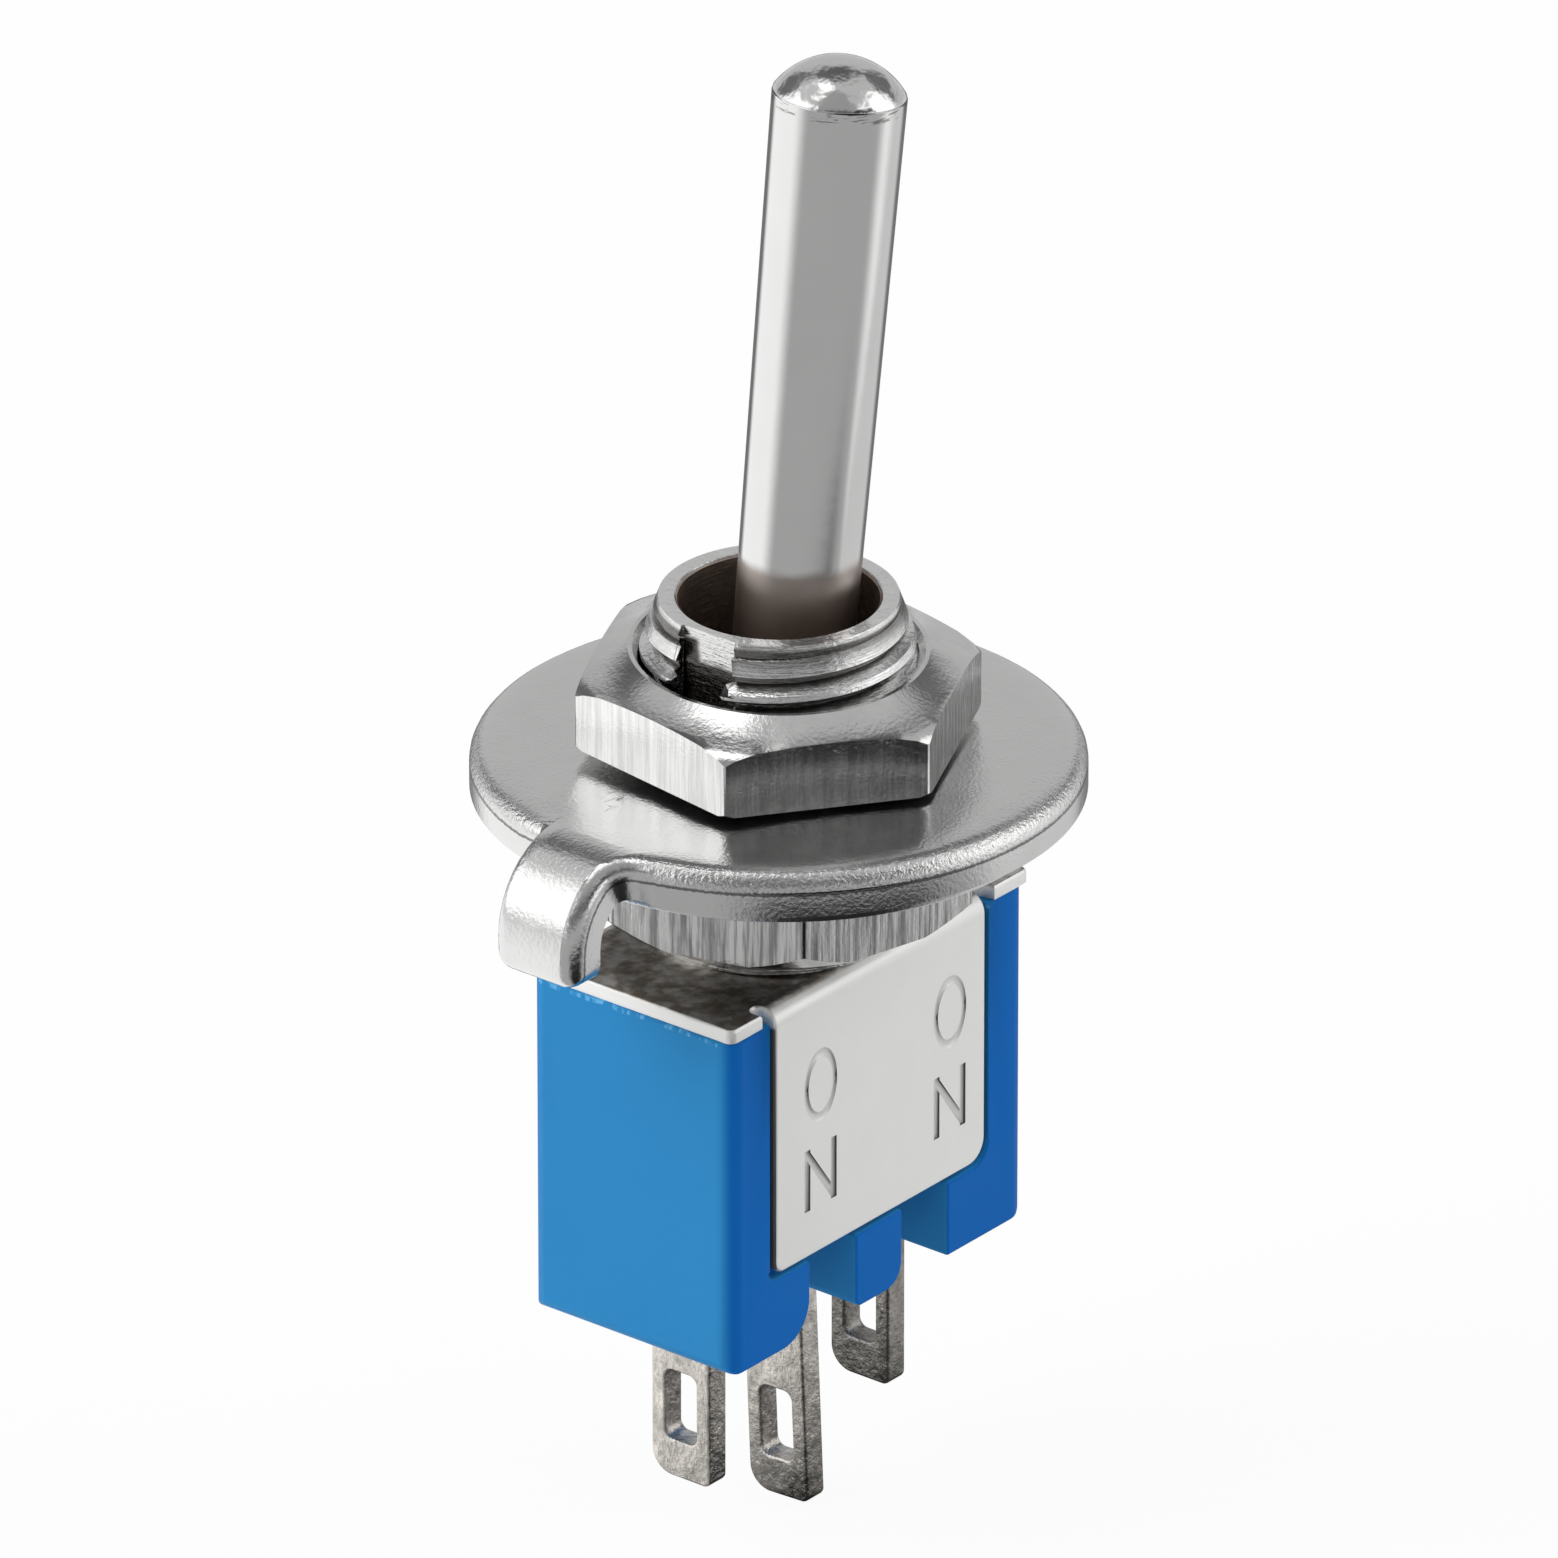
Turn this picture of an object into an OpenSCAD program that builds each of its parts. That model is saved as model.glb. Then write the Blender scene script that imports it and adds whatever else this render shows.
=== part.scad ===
// Sub-miniature panel toggle switch, one pole, two steady positions.
// Millimetres, with +Z up along the bushing, away from the case.
// The origin is on the bushing's axis, in the plane where the panel seats: above it is the locating
// washer, and below it the lock washer. X runs along the row of terminals, towards the lean of the
// lever at rest, and the keyway and the locating tab are on the -X side.

/* [Bushing and pivot] */
// Outside diameter of the bushing's thread
thread_d = 4.9; // [4.8:0.05:5.1]
// Diameter of the bushing's mouth
mouth_d = 3.57; // [3.4:0.01:3.7]
// Depth that the nuts' threads bite into the bushing's
thread_bite = 0.16; // [0.1:0.01:0.2]
// Thread that stands proud of the upper nut
thread_proud = 1.08; // [0.7:0.02:2]
// Height of the bevel from the bushing's rim to its thread
rim_bevel_h = 0.34; // [0.2:0.02:0.5]
// Width of the flat rim round the mouth
rim_w = 0.27; // [0.15:0.01:0.35]
// Width of the keyway
keyway_w = 1.18; // [0.8:0.02:1.4]
// Wall left between the keyway and the bore
keyway_wall = 0.21; // [0.15:0.01:0.35]
// Depth of the lever's pivot below the bushing's mouth
pivot_depth = 4.2; // [3.8:0.1:4.6]
// Diameter of the pivot pin
pivot_pin_d = 0.7; // [0.5:0.05:0.9]
// Diameter of the passage through the bushing's riveted foot
foot_bore_d = 2.7; // [2.6:0.05:2.9]
// Wall of the riveted foot
foot_wall = 0.25; // [0.15:0.01:0.3]

/* [Nuts and washers] */
// Width of both nuts across their flats
nut_af = 6.41; // [6:0.05:7]
// Height of the upper nut
upper_nut_h = 1.55; // [1.2:0.05:2]
// Height of the lower nut
lower_nut_h = 1.6; // [1.2:0.05:2]
// Turn of the upper nut's first corner from +X
upper_nut_turn = 24; // [0:1:59]
// Turn of the lower nut's first corner from +X
lower_nut_turn = 45.5; // [0:0.5:59]
// Width of a nut's flat ring round its countersink
nut_face_w = 0.08; // [0.04:0.01:0.3]
// Outside diameter of the locating washer
locating_d = 10.88; // [10:0.02:12]
// Thickness of the locating washer
locating_t = 0.75; // [0.5:0.01:0.9]
// Rise of the locating washer from its edge to its hole
locating_dish = 0.2; // [0.05:0.01:0.3]
// Round of the locating washer's upper edge
locating_round = 0.24; // [0.1:0.01:0.3]
// Width of the locating tab
tab_w = 1.84; // [1.6:0.02:2.6]
// Reach of the tab's outer face past the locating washer's edge
tab_reach = 1.24; // [1:0.02:1.6]
// Distance that the tab's bend starts inside the washer's edge
tab_bend_in = 0.38; // [0.2:0.02:0.6]
// Fillet between the tab and the washer's edge, on the -Y side
tab_fillet_r = 0.5; // [0.2:0.05:0.7]
// Depth of the tab's end below the panel seat
tab_depth = 1.46; // [1.3:0.02:1.9]
// Step in from the start of the tab's bend to the lock washer's edge
lock_step = 0.06; // [0.02:0.02:0.5]
// Thickness of the lock washer
lock_t = 0.35; // [0.25:0.01:0.5]
// Number of teeth on the lock washer
lock_teeth = 10; // [6:1:12]
// Width of the lock washer's plain rim
lock_rim = 1.1; // [0.8:0.05:1.4]

/* [Frame] */
// Thickness of the frame's sheet
sheet_t = 0.26; // [0.2:0.01:0.32]
// Gap between the lower nut and the frame
frame_gap = 0.73; // [0.3:0.01:2]
// Width of a flap
flap_w = 5.94; // [5.6:0.02:6.8]
// Length of a flap from the top of the frame
flap_h = 5.22; // [4.8:0.02:5.6]
// Inner radius of the frame's bends
bend_r = 0.12; // [0.05:0.01:0.2]
// Radius of the top plate's corners
plate_corner_r = 0.15; // [0.05:0.05:0.3]
// Setback of the top plate from the case's end at the keyway
plate_back = 0.05; // [0:0.01:0.2]
// Reach of the top plate past the case's other end
plate_over = 0.1; // [0:0.01:0.2]
// Radius of a flap's lower corner at the keyway end
flap_left_r = 0.25; // [0.1:0.05:0.5]
// Radius of a flap's lower corner at the other end
flap_right_r = 0.45; // [0.1:0.05:0.6]

/* [Case] */
// Length of the case, along the row of terminals
case_l = 8.34; // [7.9:0.02:9.5]
// Width of the case
case_w = 4.56; // [4.4:0.02:5.5]
// Height of the case
case_h = 6.54; // [6.4:0.02:8]
// Round of the case's upright edges
case_edge_r = 0.35; // [0.1:0.05:0.5]
// Thickness of the end walls
end_wall = 0.72; // [0.5:0.01:0.8]
// Thickness of the side walls behind the flaps
side_wall = 0.55; // [0.4:0.01:0.6]
// Thickness of the floor above the grooves
floor_t = 0.5; // [0.4:0.05:0.6]
// Height of the two grooves under the case
groove_h = 1.79; // [1.6:0.01:2]
// Width of the middle block between the grooves
middle_block_w = 1.32; // [1.2:0.02:1.5]
// Width of a groove
groove_w = 1.28; // [1.1:0.02:1.3]

/* [Terminals] */
// Spacing of the terminals
pitch = 2.54; // [2.45:0.01:2.7]
// Width of a terminal
terminal_w = 1.32; // [1.1:0.02:1.5]
// Thickness of a terminal
terminal_t = 0.5; // [0.35:0.05:0.55]
// Length of the outer terminals below the case
outer_reach = 3.26; // [2.9:0.02:6]
// Length of the middle terminal below the case
middle_reach = 4.56; // [2.9:0.02:6]
// Lean of the middle terminal's end
middle_lean = 2.5; // [0:0.5:4]
// Width of an eyelet
eyelet_w = 0.7; // [0.5:0.02:0.8]
// Height of an eyelet
eyelet_h = 1.36; // [1:0.02:1.6]
// Metal left below an eyelet
eyelet_end = 0.74; // [0.5:0.02:1]

/* [Lever] */
// Length of the lever from its pivot to its tip
lever_l = 14; // [12:0.1:20]
// Diameter of the lever below its dome
lever_tip_d = 2.38; // [2.2:0.02:2.5]
// Diameter of the lever at its ball
lever_root_d = 2.1; // [1.9:0.02:2.2]
// Diameter of the lever's ball
ball_d = 3; // [2.7:0.05:3.2]
// Lean of the lever to either side
lever_lean = 7.3; // [6:0.1:7.6]
// Diameter of the lever's barrel, below the ball
barrel_d = 1.8; // [1.7:0.02:1.85]
// Depth of the barrel's end below the pivot
barrel_l = 2.75; // [2.6:0.05:2.9]

/* [Plunger and spring] */
// Diameter of the plunger
plunger_d = 1.16; // [1:0.02:1.2]
// Diameter of the plunger's well
well_d = 0.8; // [0.7:0.02:0.84]
// Radius of the plunger's nose
nose_r = 0.4; // [0.3:0.02:0.48]
// Diameter of the spring's wire
wire_d = 0.11; // [0.08:0.01:0.13]
// Turns of the spring
spring_turns = 7; // [5:1:9]

/* [Rocker and contacts] */
// Height of the rocker's fulcrum above the case's floor
fulcrum_h = 1.45; // [1.35:0.05:1.8]
// Radius of the fulcrum bar
fulcrum_r = 0.25; // [0.2:0.01:0.28]
// Thickness of the rocker's sheet
rocker_t = 0.25; // [0.18:0.01:0.3]
// Length of the rocker
rocker_l = 4.8; // [4.6:0.1:5]
// Width of the rocker's web
rocker_w = 1.7; // [1.5:0.05:1.75]
// Tilt of the rocker to either side
rocker_tilt = 8; // [6:0.5:9]
// Distance of the contacts from the middle
contact_x = 1.92; // [1.8:0.02:2]
// Diameter of a contact
contact_d = 0.84; // [0.7:0.02:0.9]

/* [Hidden] */
$fn = 64;

// Overlap that lets a cut run clean through a face
cut = 0.05;
// Clearance of a thread in its nut or washer, and of a strip in its slot
slip = 0.02;
// Radial clearance of a piece that turns or slides
run = 0.025;
// Clearance left round the flaps and the riveted foot
ease = 0.12;

// Heights of the stack, from the panel seat
locating_top = locating_t + locating_dish;
upper_nut_top = locating_top + upper_nut_h;
bushing_top = upper_nut_top + thread_proud;
lower_nut_top = -lock_t;
lower_nut_z = lower_nut_top - lower_nut_h;
frame_top = lower_nut_z - frame_gap;
case_top = frame_top - sheet_t;
case_z = case_top - case_h;
floor_z = case_z + groove_h + floor_t;
pivot_z = bushing_top - pivot_depth;
fulcrum_z = floor_z + fulcrum_h;

// Bushing
thread_r = thread_d / 2;
mouth_r = mouth_d / 2;
foot_r = foot_bore_d / 2 + foot_wall;
foot_lip = 0.14;
foot_lip_h = 0.16;
bore_floor_z = pivot_z - ball_d / 2 - 0.15;
pivot_pin_l = thread_d - 2 * thread_bite - 0.1;

// Nuts and washers
nut_corner_r = nut_af / 2 / cos(30);
nut_bevel = 30;
hole_r = thread_r + slip;
nut_sink_r = thread_r + 0.13;
nut_face_r = nut_sink_r + nut_face_w;
nut_hole_r = thread_r - thread_bite + slip;
locating_r = locating_d / 2;
tab_bend_x = locating_r - tab_bend_in;
tab_bend_r = tab_reach + tab_bend_in;
tab_bend_z = locating_t - tab_bend_r;
lock_r = tab_bend_x - lock_step;

// Frame and case
flap_y = case_w / 2 + 0.03;
recess_y = flap_y - sheet_t - slip;
cavity_y = recess_y - side_wall;
cavity_x = case_l / 2 - end_wall;
flap_z = frame_top - flap_h;

// Rocker, in its own frame: its axis is the fulcrum bar's, and its web lies level above it
web_z = fulcrum_r + 0.2;
web_top = web_z + rocker_t;
stud_r = 0.62;
stud_h = 0.17;
stud_z = web_z - stud_h;
contact_gap = 0.04;
fixed_contact_h = 0.16;
fixed_contact_z = fulcrum_z - contact_x * sin(rocker_tilt) + stud_z * cos(rocker_tilt)
    - stud_r * (1 - cos(rocker_tilt)) - contact_gap;
shelf_z = fixed_contact_z - fixed_contact_h;

// Plunger, measured down from the pivot along the lever
plunger_gap = 0.06;
plunger_nose = 0.75;
plunger_drop = 0.55;
roof_t = 0.45;
spring_gap = 0.06;
nose_l = pivot_z - fulcrum_z - web_top - plunger_gap;
well_floor = nose_l - plunger_nose;
bore_roof = pivot_pin_d / 2 + roof_t;
plunger_top = bore_roof + plunger_drop;
coil_r = well_d / 2 - wire_d / 2 - spring_gap;

// The removed part of a corner at p that points along sx, sy, so that the corner gets radius r
module corner_cut(p, r, sx, sy) {
    translate([p[0] - sx * r, p[1] - sy * r])
        difference() {
            translate([sx > 0 ? 0 : -r - cut, sy > 0 ? 0 : -r - cut])
                square(r + cut);
            circle(r);
        }
}

// A rectangle of size s about the origin, with round corners
module round_rect(s, r) {
    difference() {
        square(s, center = true);
        for (sx = [-1, 1], sy = [-1, 1])
            corner_cut([sx * s[0] / 2, sy * s[1] / 2], r, sx, sy);
    }
}

// An outline drawn in X and Z, given a thickness along Y about the middle
module across(w) {
    translate([0, w / 2, 0])
        rotate([90, 0, 0])
            linear_extrude(w)
                children();
}

// An outline drawn in Y and Z, given a thickness along X about the middle
module along(l) {
    rotate([90, 0, 90])
        translate([0, 0, -l / 2])
            linear_extrude(l)
                children();
}

// The lever's own frame: origin at the pivot, +Z towards the tip
module at_pivot() {
    translate([0, 0, pivot_z])
        rotate([0, lever_lean, 0])
            children();
}

// The rocker's own frame, tilted down to -X as it is at rest
module at_fulcrum() {
    translate([0, 0, fulcrum_z])
        rotate([0, -rocker_tilt, 0])
            children();
}

// Moulded case: three blocks below two grooves, recessed for the flaps, hollow for the mechanism
module case_outline() {
    groove_x = middle_block_w / 2;
    difference() {
        translate([-case_l / 2, case_z])
            square([case_l, case_h]);
        for (s = [-1, 1])
            translate([s * (groove_x + groove_w / 2) - groove_w / 2, case_z - cut])
                square([groove_w, groove_h + cut]);
        corner_cut([-case_l / 2, case_z], 0.25, -1, -1);
        corner_cut([-groove_x - groove_w, case_z], 0.75, 1, -1);
        corner_cut([-groove_x, case_z], 0.2, -1, -1);
        corner_cut([groove_x, case_z], 0.45, 1, -1);
        corner_cut([case_l / 2, case_z], 0.4, 1, -1);
    }
}

module case_recess() {
    w = flap_w + 2 * ease;
    bottom = flap_z - ease;
    along(w)
        for (s = [-1, 1])
            corner_cut([s * recess_y, case_top], bend_r + 2 * slip, s, 1);
    for (s = [-1, 1])
        translate([0, s * (recess_y + case_w / 2), 0])
            across(case_w)
                difference() {
                    translate([-w / 2, bottom])
                        square([w, case_top + cut - bottom]);
                    corner_cut([-w / 2, bottom], flap_left_r, -1, -1);
                    corner_cut([w / 2, bottom], flap_right_r, 1, -1);
                }
}

module case() {
    color("#2f86c6")
    difference() {
        intersection() {
            across(case_w + 2 * cut)
                case_outline();
            translate([0, 0, case_z - cut])
                linear_extrude(case_h + 2 * cut)
                    round_rect([case_l, case_w], case_edge_r);
        }
        case_recess();
        translate([0, 0, floor_z])
            linear_extrude(case_h)
                round_rect([2 * cavity_x, 2 * cavity_y], 0.3);
        translate([0, 0, case_top - foot_lip_h - ease])
            cylinder(r = foot_r + foot_lip + slip, h = case_h);
        for (i = [-1, 0, 1])
            translate([i * pitch, 0, 0])
                cube([terminal_t + 2 * slip, terminal_w + 2 * slip, 3 * case_h], center = true);
    }
}

// Folded sheet frame: a top plate with a flap down each long side
module frame_section() {
    outer_r = sheet_t + bend_r;
    difference() {
        translate([-flap_y, flap_z])
            square([2 * flap_y, flap_h]);
        for (s = [-1, 1])
            corner_cut([s * flap_y, frame_top], outer_r, s, 1);
        difference() {
            translate([sheet_t - flap_y, flap_z - cut])
                square([2 * (flap_y - sheet_t), flap_h - sheet_t + cut]);
            for (s = [-1, 1])
                corner_cut([s * (flap_y - sheet_t), frame_top - sheet_t], bend_r, s, 1);
        }
    }
}

module frame_face() {
    difference() {
        translate([-flap_w / 2, flap_z])
            square([flap_w, flap_h]);
        corner_cut([-flap_w / 2, flap_z], flap_left_r, -1, -1);
        corner_cut([flap_w / 2, flap_z], flap_right_r, 1, -1);
    }
}

module frame() {
    relief_r = 0.15;
    plate_l = case_l - plate_back + plate_over;
    plate_w = case_w - 2 * slip;
    color("#cfcfcd")
    difference() {
        union() {
            intersection() {
                along(flap_w)
                    frame_section();
                across(case_w + 1)
                    frame_face();
            }
            translate([(plate_over + plate_back) / 2, 0, frame_top - sheet_t])
                linear_extrude(sheet_t)
                    round_rect([plate_l, plate_w], plate_corner_r);
        }
        translate([0, 0, frame_top])
            cylinder(r = foot_r, h = 4 * sheet_t, center = true);
        for (sx = [-1, 1], sy = [-1, 1])
            translate([sx * (flap_w / 2 + relief_r), sy * (flap_y - 0.1), frame_top])
                cylinder(r = relief_r, h = 4 * sheet_t, center = true);
    }
}

// Turned and threaded bushing, riveted into the frame by its foot. Its free thread has the crests'
// diameter, and where a nut bites into it the diameter is the one on which the two threads meet.
module bushing() {
    rim_r = mouth_r + rim_w;
    bitten_r = thread_r - thread_bite;
    edge = 0.05;
    color("#b9b7b2")
    difference() {
        rotate_extrude()
            polygon([
                [mouth_r + edge, bushing_top],
                [rim_r, bushing_top],
                [thread_r, bushing_top - rim_bevel_h],
                [thread_r, upper_nut_top],
                [bitten_r, upper_nut_top],
                [bitten_r, locating_top],
                [thread_r, locating_top],
                [thread_r, lower_nut_top],
                [bitten_r, lower_nut_top],
                [bitten_r, lower_nut_z],
                [thread_r, lower_nut_z],
                [thread_r, frame_top],
                [foot_r, frame_top],
                [foot_r, case_top],
                [foot_r + foot_lip, case_top],
                [foot_r + foot_lip, case_top - foot_lip_h],
                [foot_bore_d / 2, case_top - foot_lip_h],
                [foot_bore_d / 2, bore_floor_z],
                [mouth_r, bore_floor_z],
                [mouth_r, bushing_top - edge]
            ]);
        translate([-mouth_r - keyway_wall - thread_r, -keyway_w / 2, lower_nut_z])
            cube([thread_r, keyway_w, bushing_top - lower_nut_z + cut]);
        translate([0, 0, pivot_z])
            rotate([90, 0, 0])
                cylinder(d = pivot_pin_d, h = 3 * thread_r, center = true);
    }
}

module pivot_pin() {
    color("#a8a6a2")
    translate([0, 0, pivot_z])
        rotate([90, 0, 0])
            cylinder(d = pivot_pin_d, h = pivot_pin_l, center = true);
}

// Hexagon nut with a bevelled upper face and a countersunk thread, standing on z = 0
module panel_nut(h, turn) {
    sink = nut_sink_r - nut_hole_r;
    drop = (nut_corner_r - nut_face_r) * tan(nut_bevel);
    foot_round = 0.08;
    color("#c4c2bd")
    rotate([0, 0, turn])
        intersection() {
            cylinder(r = nut_corner_r, h = h, $fn = 6);
            rotate_extrude()
                polygon([
                    [nut_sink_r, 0],
                    [nut_corner_r - foot_round, 0],
                    [nut_corner_r, foot_round],
                    [nut_corner_r, h - drop],
                    [nut_face_r, h],
                    [nut_sink_r, h],
                    [nut_hole_r, h - sink],
                    [nut_hole_r, sink]
                ]);
        }
}

module panel_nut_upper() {
    translate([0, 0, locating_top])
        panel_nut(upper_nut_h, upper_nut_turn);
}

module panel_nut_lower() {
    translate([0, 0, lower_nut_z])
        panel_nut(lower_nut_h, lower_nut_turn);
}

// Stamped locating washer, dished to its hole, with a tooth for the keyway and a tab for the panel
module locating_disc() {
    r = locating_r;
    slope = locating_dish / (r - hole_r);
    arc = [for (a = [0 : 15 : 90])
        [r - locating_round * (1 - cos(a)), locating_t - locating_round * (1 - sin(a))]];
    rotate_extrude()
        polygon(concat(
            [[hole_r, locating_dish], [r, 0]],
            arc,
            [[hole_r, locating_t + slope * (r - locating_round - hole_r)]]
        ));
}

// The tab's outline from above, with a fillet into the washer's edge
module tab_plan() {
    bite = 0.015;
    reach = locating_r + tab_fillet_r - bite;
    fillet_y = -tab_w / 2 - tab_fillet_r;
    fillet_x = -sqrt(reach * reach - fillet_y * fillet_y);
    meet = (locating_r - 2 * bite) / reach;
    translate([-tab_bend_x - tab_bend_r, -tab_w / 2])
        square([tab_bend_r, tab_w]);
    difference() {
        polygon([
            [-tab_bend_x, cut - tab_w / 2],
            [fillet_x, cut - tab_w / 2],
            [fillet_x, fillet_y],
            [fillet_x * meet, fillet_y * meet],
            [-tab_bend_x, fillet_y * meet]
        ]);
        translate([fillet_x, fillet_y])
            circle(tab_fillet_r);
    }
}

// The tab's bent section, as wide as w
module tab_section(w) {
    inner_r = tab_bend_r - locating_t;
    end_r = 0.25;
    end_z = -tab_depth;
    across(w)
        translate([-tab_bend_x, 0])
            difference() {
                union() {
                    intersection() {
                        translate([0, tab_bend_z])
                            circle(tab_bend_r);
                        translate([-tab_bend_r, tab_bend_z])
                            square(tab_bend_r);
                    }
                    translate([-tab_bend_r, end_z])
                        square([locating_t, tab_bend_z - end_z]);
                }
                translate([0, tab_bend_z])
                    circle(inner_r);
                corner_cut([-tab_bend_r, end_z], end_r, -1, -1);
            }
}

module locating_tab() {
    intersection() {
        tab_section(tab_w + 4 * tab_fillet_r);
        translate([0, 0, -tab_depth - cut])
            linear_extrude(tab_depth + locating_t + 2 * cut)
                tab_plan();
    }
}

module locating_washer() {
    tooth_w = keyway_w - 0.14;
    tooth_r = mouth_r + keyway_wall + 0.06;
    color("#c9c7c3")
    union() {
        difference() {
            locating_disc();
            translate([-tab_bend_x - locating_d, -tab_w / 2, -cut])
                cube([locating_d, tab_w, 2 * locating_t]);
        }
        intersection() {
            locating_disc();
            translate([-tab_bend_x - cut, -tab_w / 2, 0])
                cube([2 * cut, tab_w, locating_t]);
        }
        locating_tab();
        translate([-hole_r - cut, -tooth_w / 2, locating_dish])
            cube([hole_r + cut - tooth_r, tooth_w, locating_t - cut]);
    }
}

// Lock washer with inner teeth, pressed flat under the locating washer
module lock_washer() {
    rim_r = lock_r - lock_rim;
    slot = 0.5;
    color("#bdbbb6")
    translate([0, 0, -lock_t])
        linear_extrude(lock_t)
            difference() {
                circle(lock_r);
                circle(hole_r);
                for (i = [0 : lock_teeth - 1])
                    rotate([0, 0, i * 360 / lock_teeth])
                        polygon([
                            [0, 0],
                            [rim_r, -slot / 2],
                            [rim_r + slot / 4, 0],
                            [rim_r, slot / 2]
                        ]);
            }
}

// Lever: a slightly tapered rod with a domed end, a ball on the pivot, and a barrel for the plunger
module lever() {
    tip_r = lever_tip_d / 2;
    ball_r = ball_d / 2;
    root_z = sqrt(ball_r * ball_r - lever_root_d * lever_root_d / 4);
    color("#bdbcb9")
    at_pivot()
        difference() {
            union() {
                sphere(ball_r);
                translate([0, 0, root_z - 0.2])
                    cylinder(r1 = lever_root_d / 2, r2 = tip_r, h = lever_l - tip_r - root_z + 0.2);
                translate([0, 0, lever_l - tip_r])
                    sphere(tip_r);
                translate([0, 0, -barrel_l])
                    cylinder(d = barrel_d, h = barrel_l);
            }
            rotate([90, 0, 0])
                cylinder(r = pivot_pin_d / 2 + run, h = 2 * ball_d, center = true);
            translate([0, 0, -barrel_l - cut])
                cylinder(r = plunger_d / 2 + run, h = barrel_l + cut - bore_roof);
        }
}

// Moulded plunger: a cup for the spring, with a round nose that bears on the rocker
module plunger() {
    r = plunger_d / 2;
    neck = 0.25;
    color("#e8e4d6")
    at_pivot()
        difference() {
            union() {
                translate([0, 0, -well_floor - neck])
                    cylinder(r = r, h = well_floor + neck - plunger_top);
                translate([0, 0, -nose_l + nose_r])
                    cylinder(r1 = nose_r, r2 = r, h = nose_l - nose_r - well_floor - neck);
                translate([0, 0, -nose_l + nose_r])
                    sphere(nose_r);
            }
            translate([0, 0, -well_floor])
                cylinder(d = well_d, h = well_floor);
        }
}

// Coil spring between the barrel's roof and the bottom of the plunger's well
module plunger_spring() {
    sides = 6;
    per_turn = 14;
    rings = spring_turns * per_turn;
    z0 = -well_floor + wire_d / 2;
    rise = well_floor - bore_roof - wire_d;
    points = [for (i = [0 : rings], j = [0 : sides - 1])
        let (a = 360 * i / per_turn, b = 360 * j / sides, r = coil_r + wire_d / 2 * cos(b))
            [r * cos(a), r * sin(a), z0 + rise * i / rings + wire_d / 2 * sin(b)]];
    walls = [for (i = [0 : rings - 1], j = [0 : sides - 1])
        let (k = (j + 1) % sides)
            [i * sides + j, i * sides + k, (i + 1) * sides + k, (i + 1) * sides + j]];
    first = [for (j = [0 : sides - 1]) sides - 1 - j];
    last = [for (j = [0 : sides - 1]) rings * sides + j];
    color("#9a9995")
    at_pivot()
        polyhedron(points, concat(walls, [first, last]));
}

// Rocker: a strip that sees-saws on the fulcrum bar, held on it by two notched cheeks
module rocker() {
    cheek_w = 1.5;
    cheek_z = -fulcrum_r - 0.1;
    notch_r = fulcrum_r + run;
    color("#c98a4b")
    at_fulcrum()
        union() {
            translate([0, 0, web_z])
                linear_extrude(rocker_t)
                    round_rect([rocker_l, rocker_w], 0.35);
            for (s = [-1, 1])
                translate([0, s * (rocker_w + rocker_t) / 2, 0])
                    across(rocker_t)
                        difference() {
                            translate([-cheek_w / 2, cheek_z])
                                square([cheek_w, web_top - cheek_z]);
                            circle(notch_r);
                            translate([-notch_r, cheek_z - cut])
                                square([2 * notch_r, cut - cheek_z]);
                        }
        }
}

// Domed contact riveted under one end of the rocker
module rocker_contact(side) {
    r = contact_d / 2;
    body_h = stud_r - sqrt(stud_r * stud_r - r * r);
    color("#d8d6d0")
    at_fulcrum()
        translate([side * contact_x, 0, stud_z])
            intersection() {
                translate([0, 0, stud_r])
                    sphere(stud_r);
                cylinder(r = r, h = min(stud_h, body_h + stud_h));
            }
}

// Flat contact on the shelf of an outer terminal
module fixed_contact(side) {
    color("#d8d6d0")
    translate([side * contact_x, 0, shelf_z])
        cylinder(d = contact_d, h = fixed_contact_h);
}

// Solder lug below the case, drawn in Y and Z with its root at the case's underside
module lug(reach) {
    big_r = 0.45;
    small_r = 0.15;
    eye_r = 0.18;
    root = 0.1;
    difference() {
        translate([-terminal_w / 2, -reach])
            square([terminal_w, reach + root]);
        corner_cut([terminal_w / 2, -reach], big_r, 1, -1);
        corner_cut([-terminal_w / 2, -reach], small_r, -1, -1);
        translate([0, eyelet_end - reach + eyelet_h / 2])
            round_rect([eyelet_w, eyelet_h], eye_r);
    }
}

// Outer terminal: a strip through the floor, bent inwards to a shelf for its contact
module outer_terminal(side) {
    shelf_l = pitch - contact_x + contact_d / 2 + 0.1;
    bend = 0.15;
    color("#a39c92")
    union() {
        translate([side * pitch, 0, 0])
            along(terminal_t) {
                translate([0, case_z])
                    lug(outer_reach);
                translate([-terminal_w / 2, case_z])
                    square([terminal_w, shelf_z - terminal_t / 2 - case_z]);
            }
        translate([side * pitch, 0, 0])
            mirror([side < 0 ? 1 : 0, 0, 0])
                across(terminal_w)
                    difference() {
                        translate([-shelf_l, shelf_z - terminal_t])
                            square([shelf_l + terminal_t / 2, terminal_t]);
                        corner_cut([terminal_t / 2, shelf_z], bend + 0.2, 1, 1);
                    }
    }
}

module terminal_left() {
    outer_terminal(-1);
}

module terminal_right() {
    outer_terminal(1);
}

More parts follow.
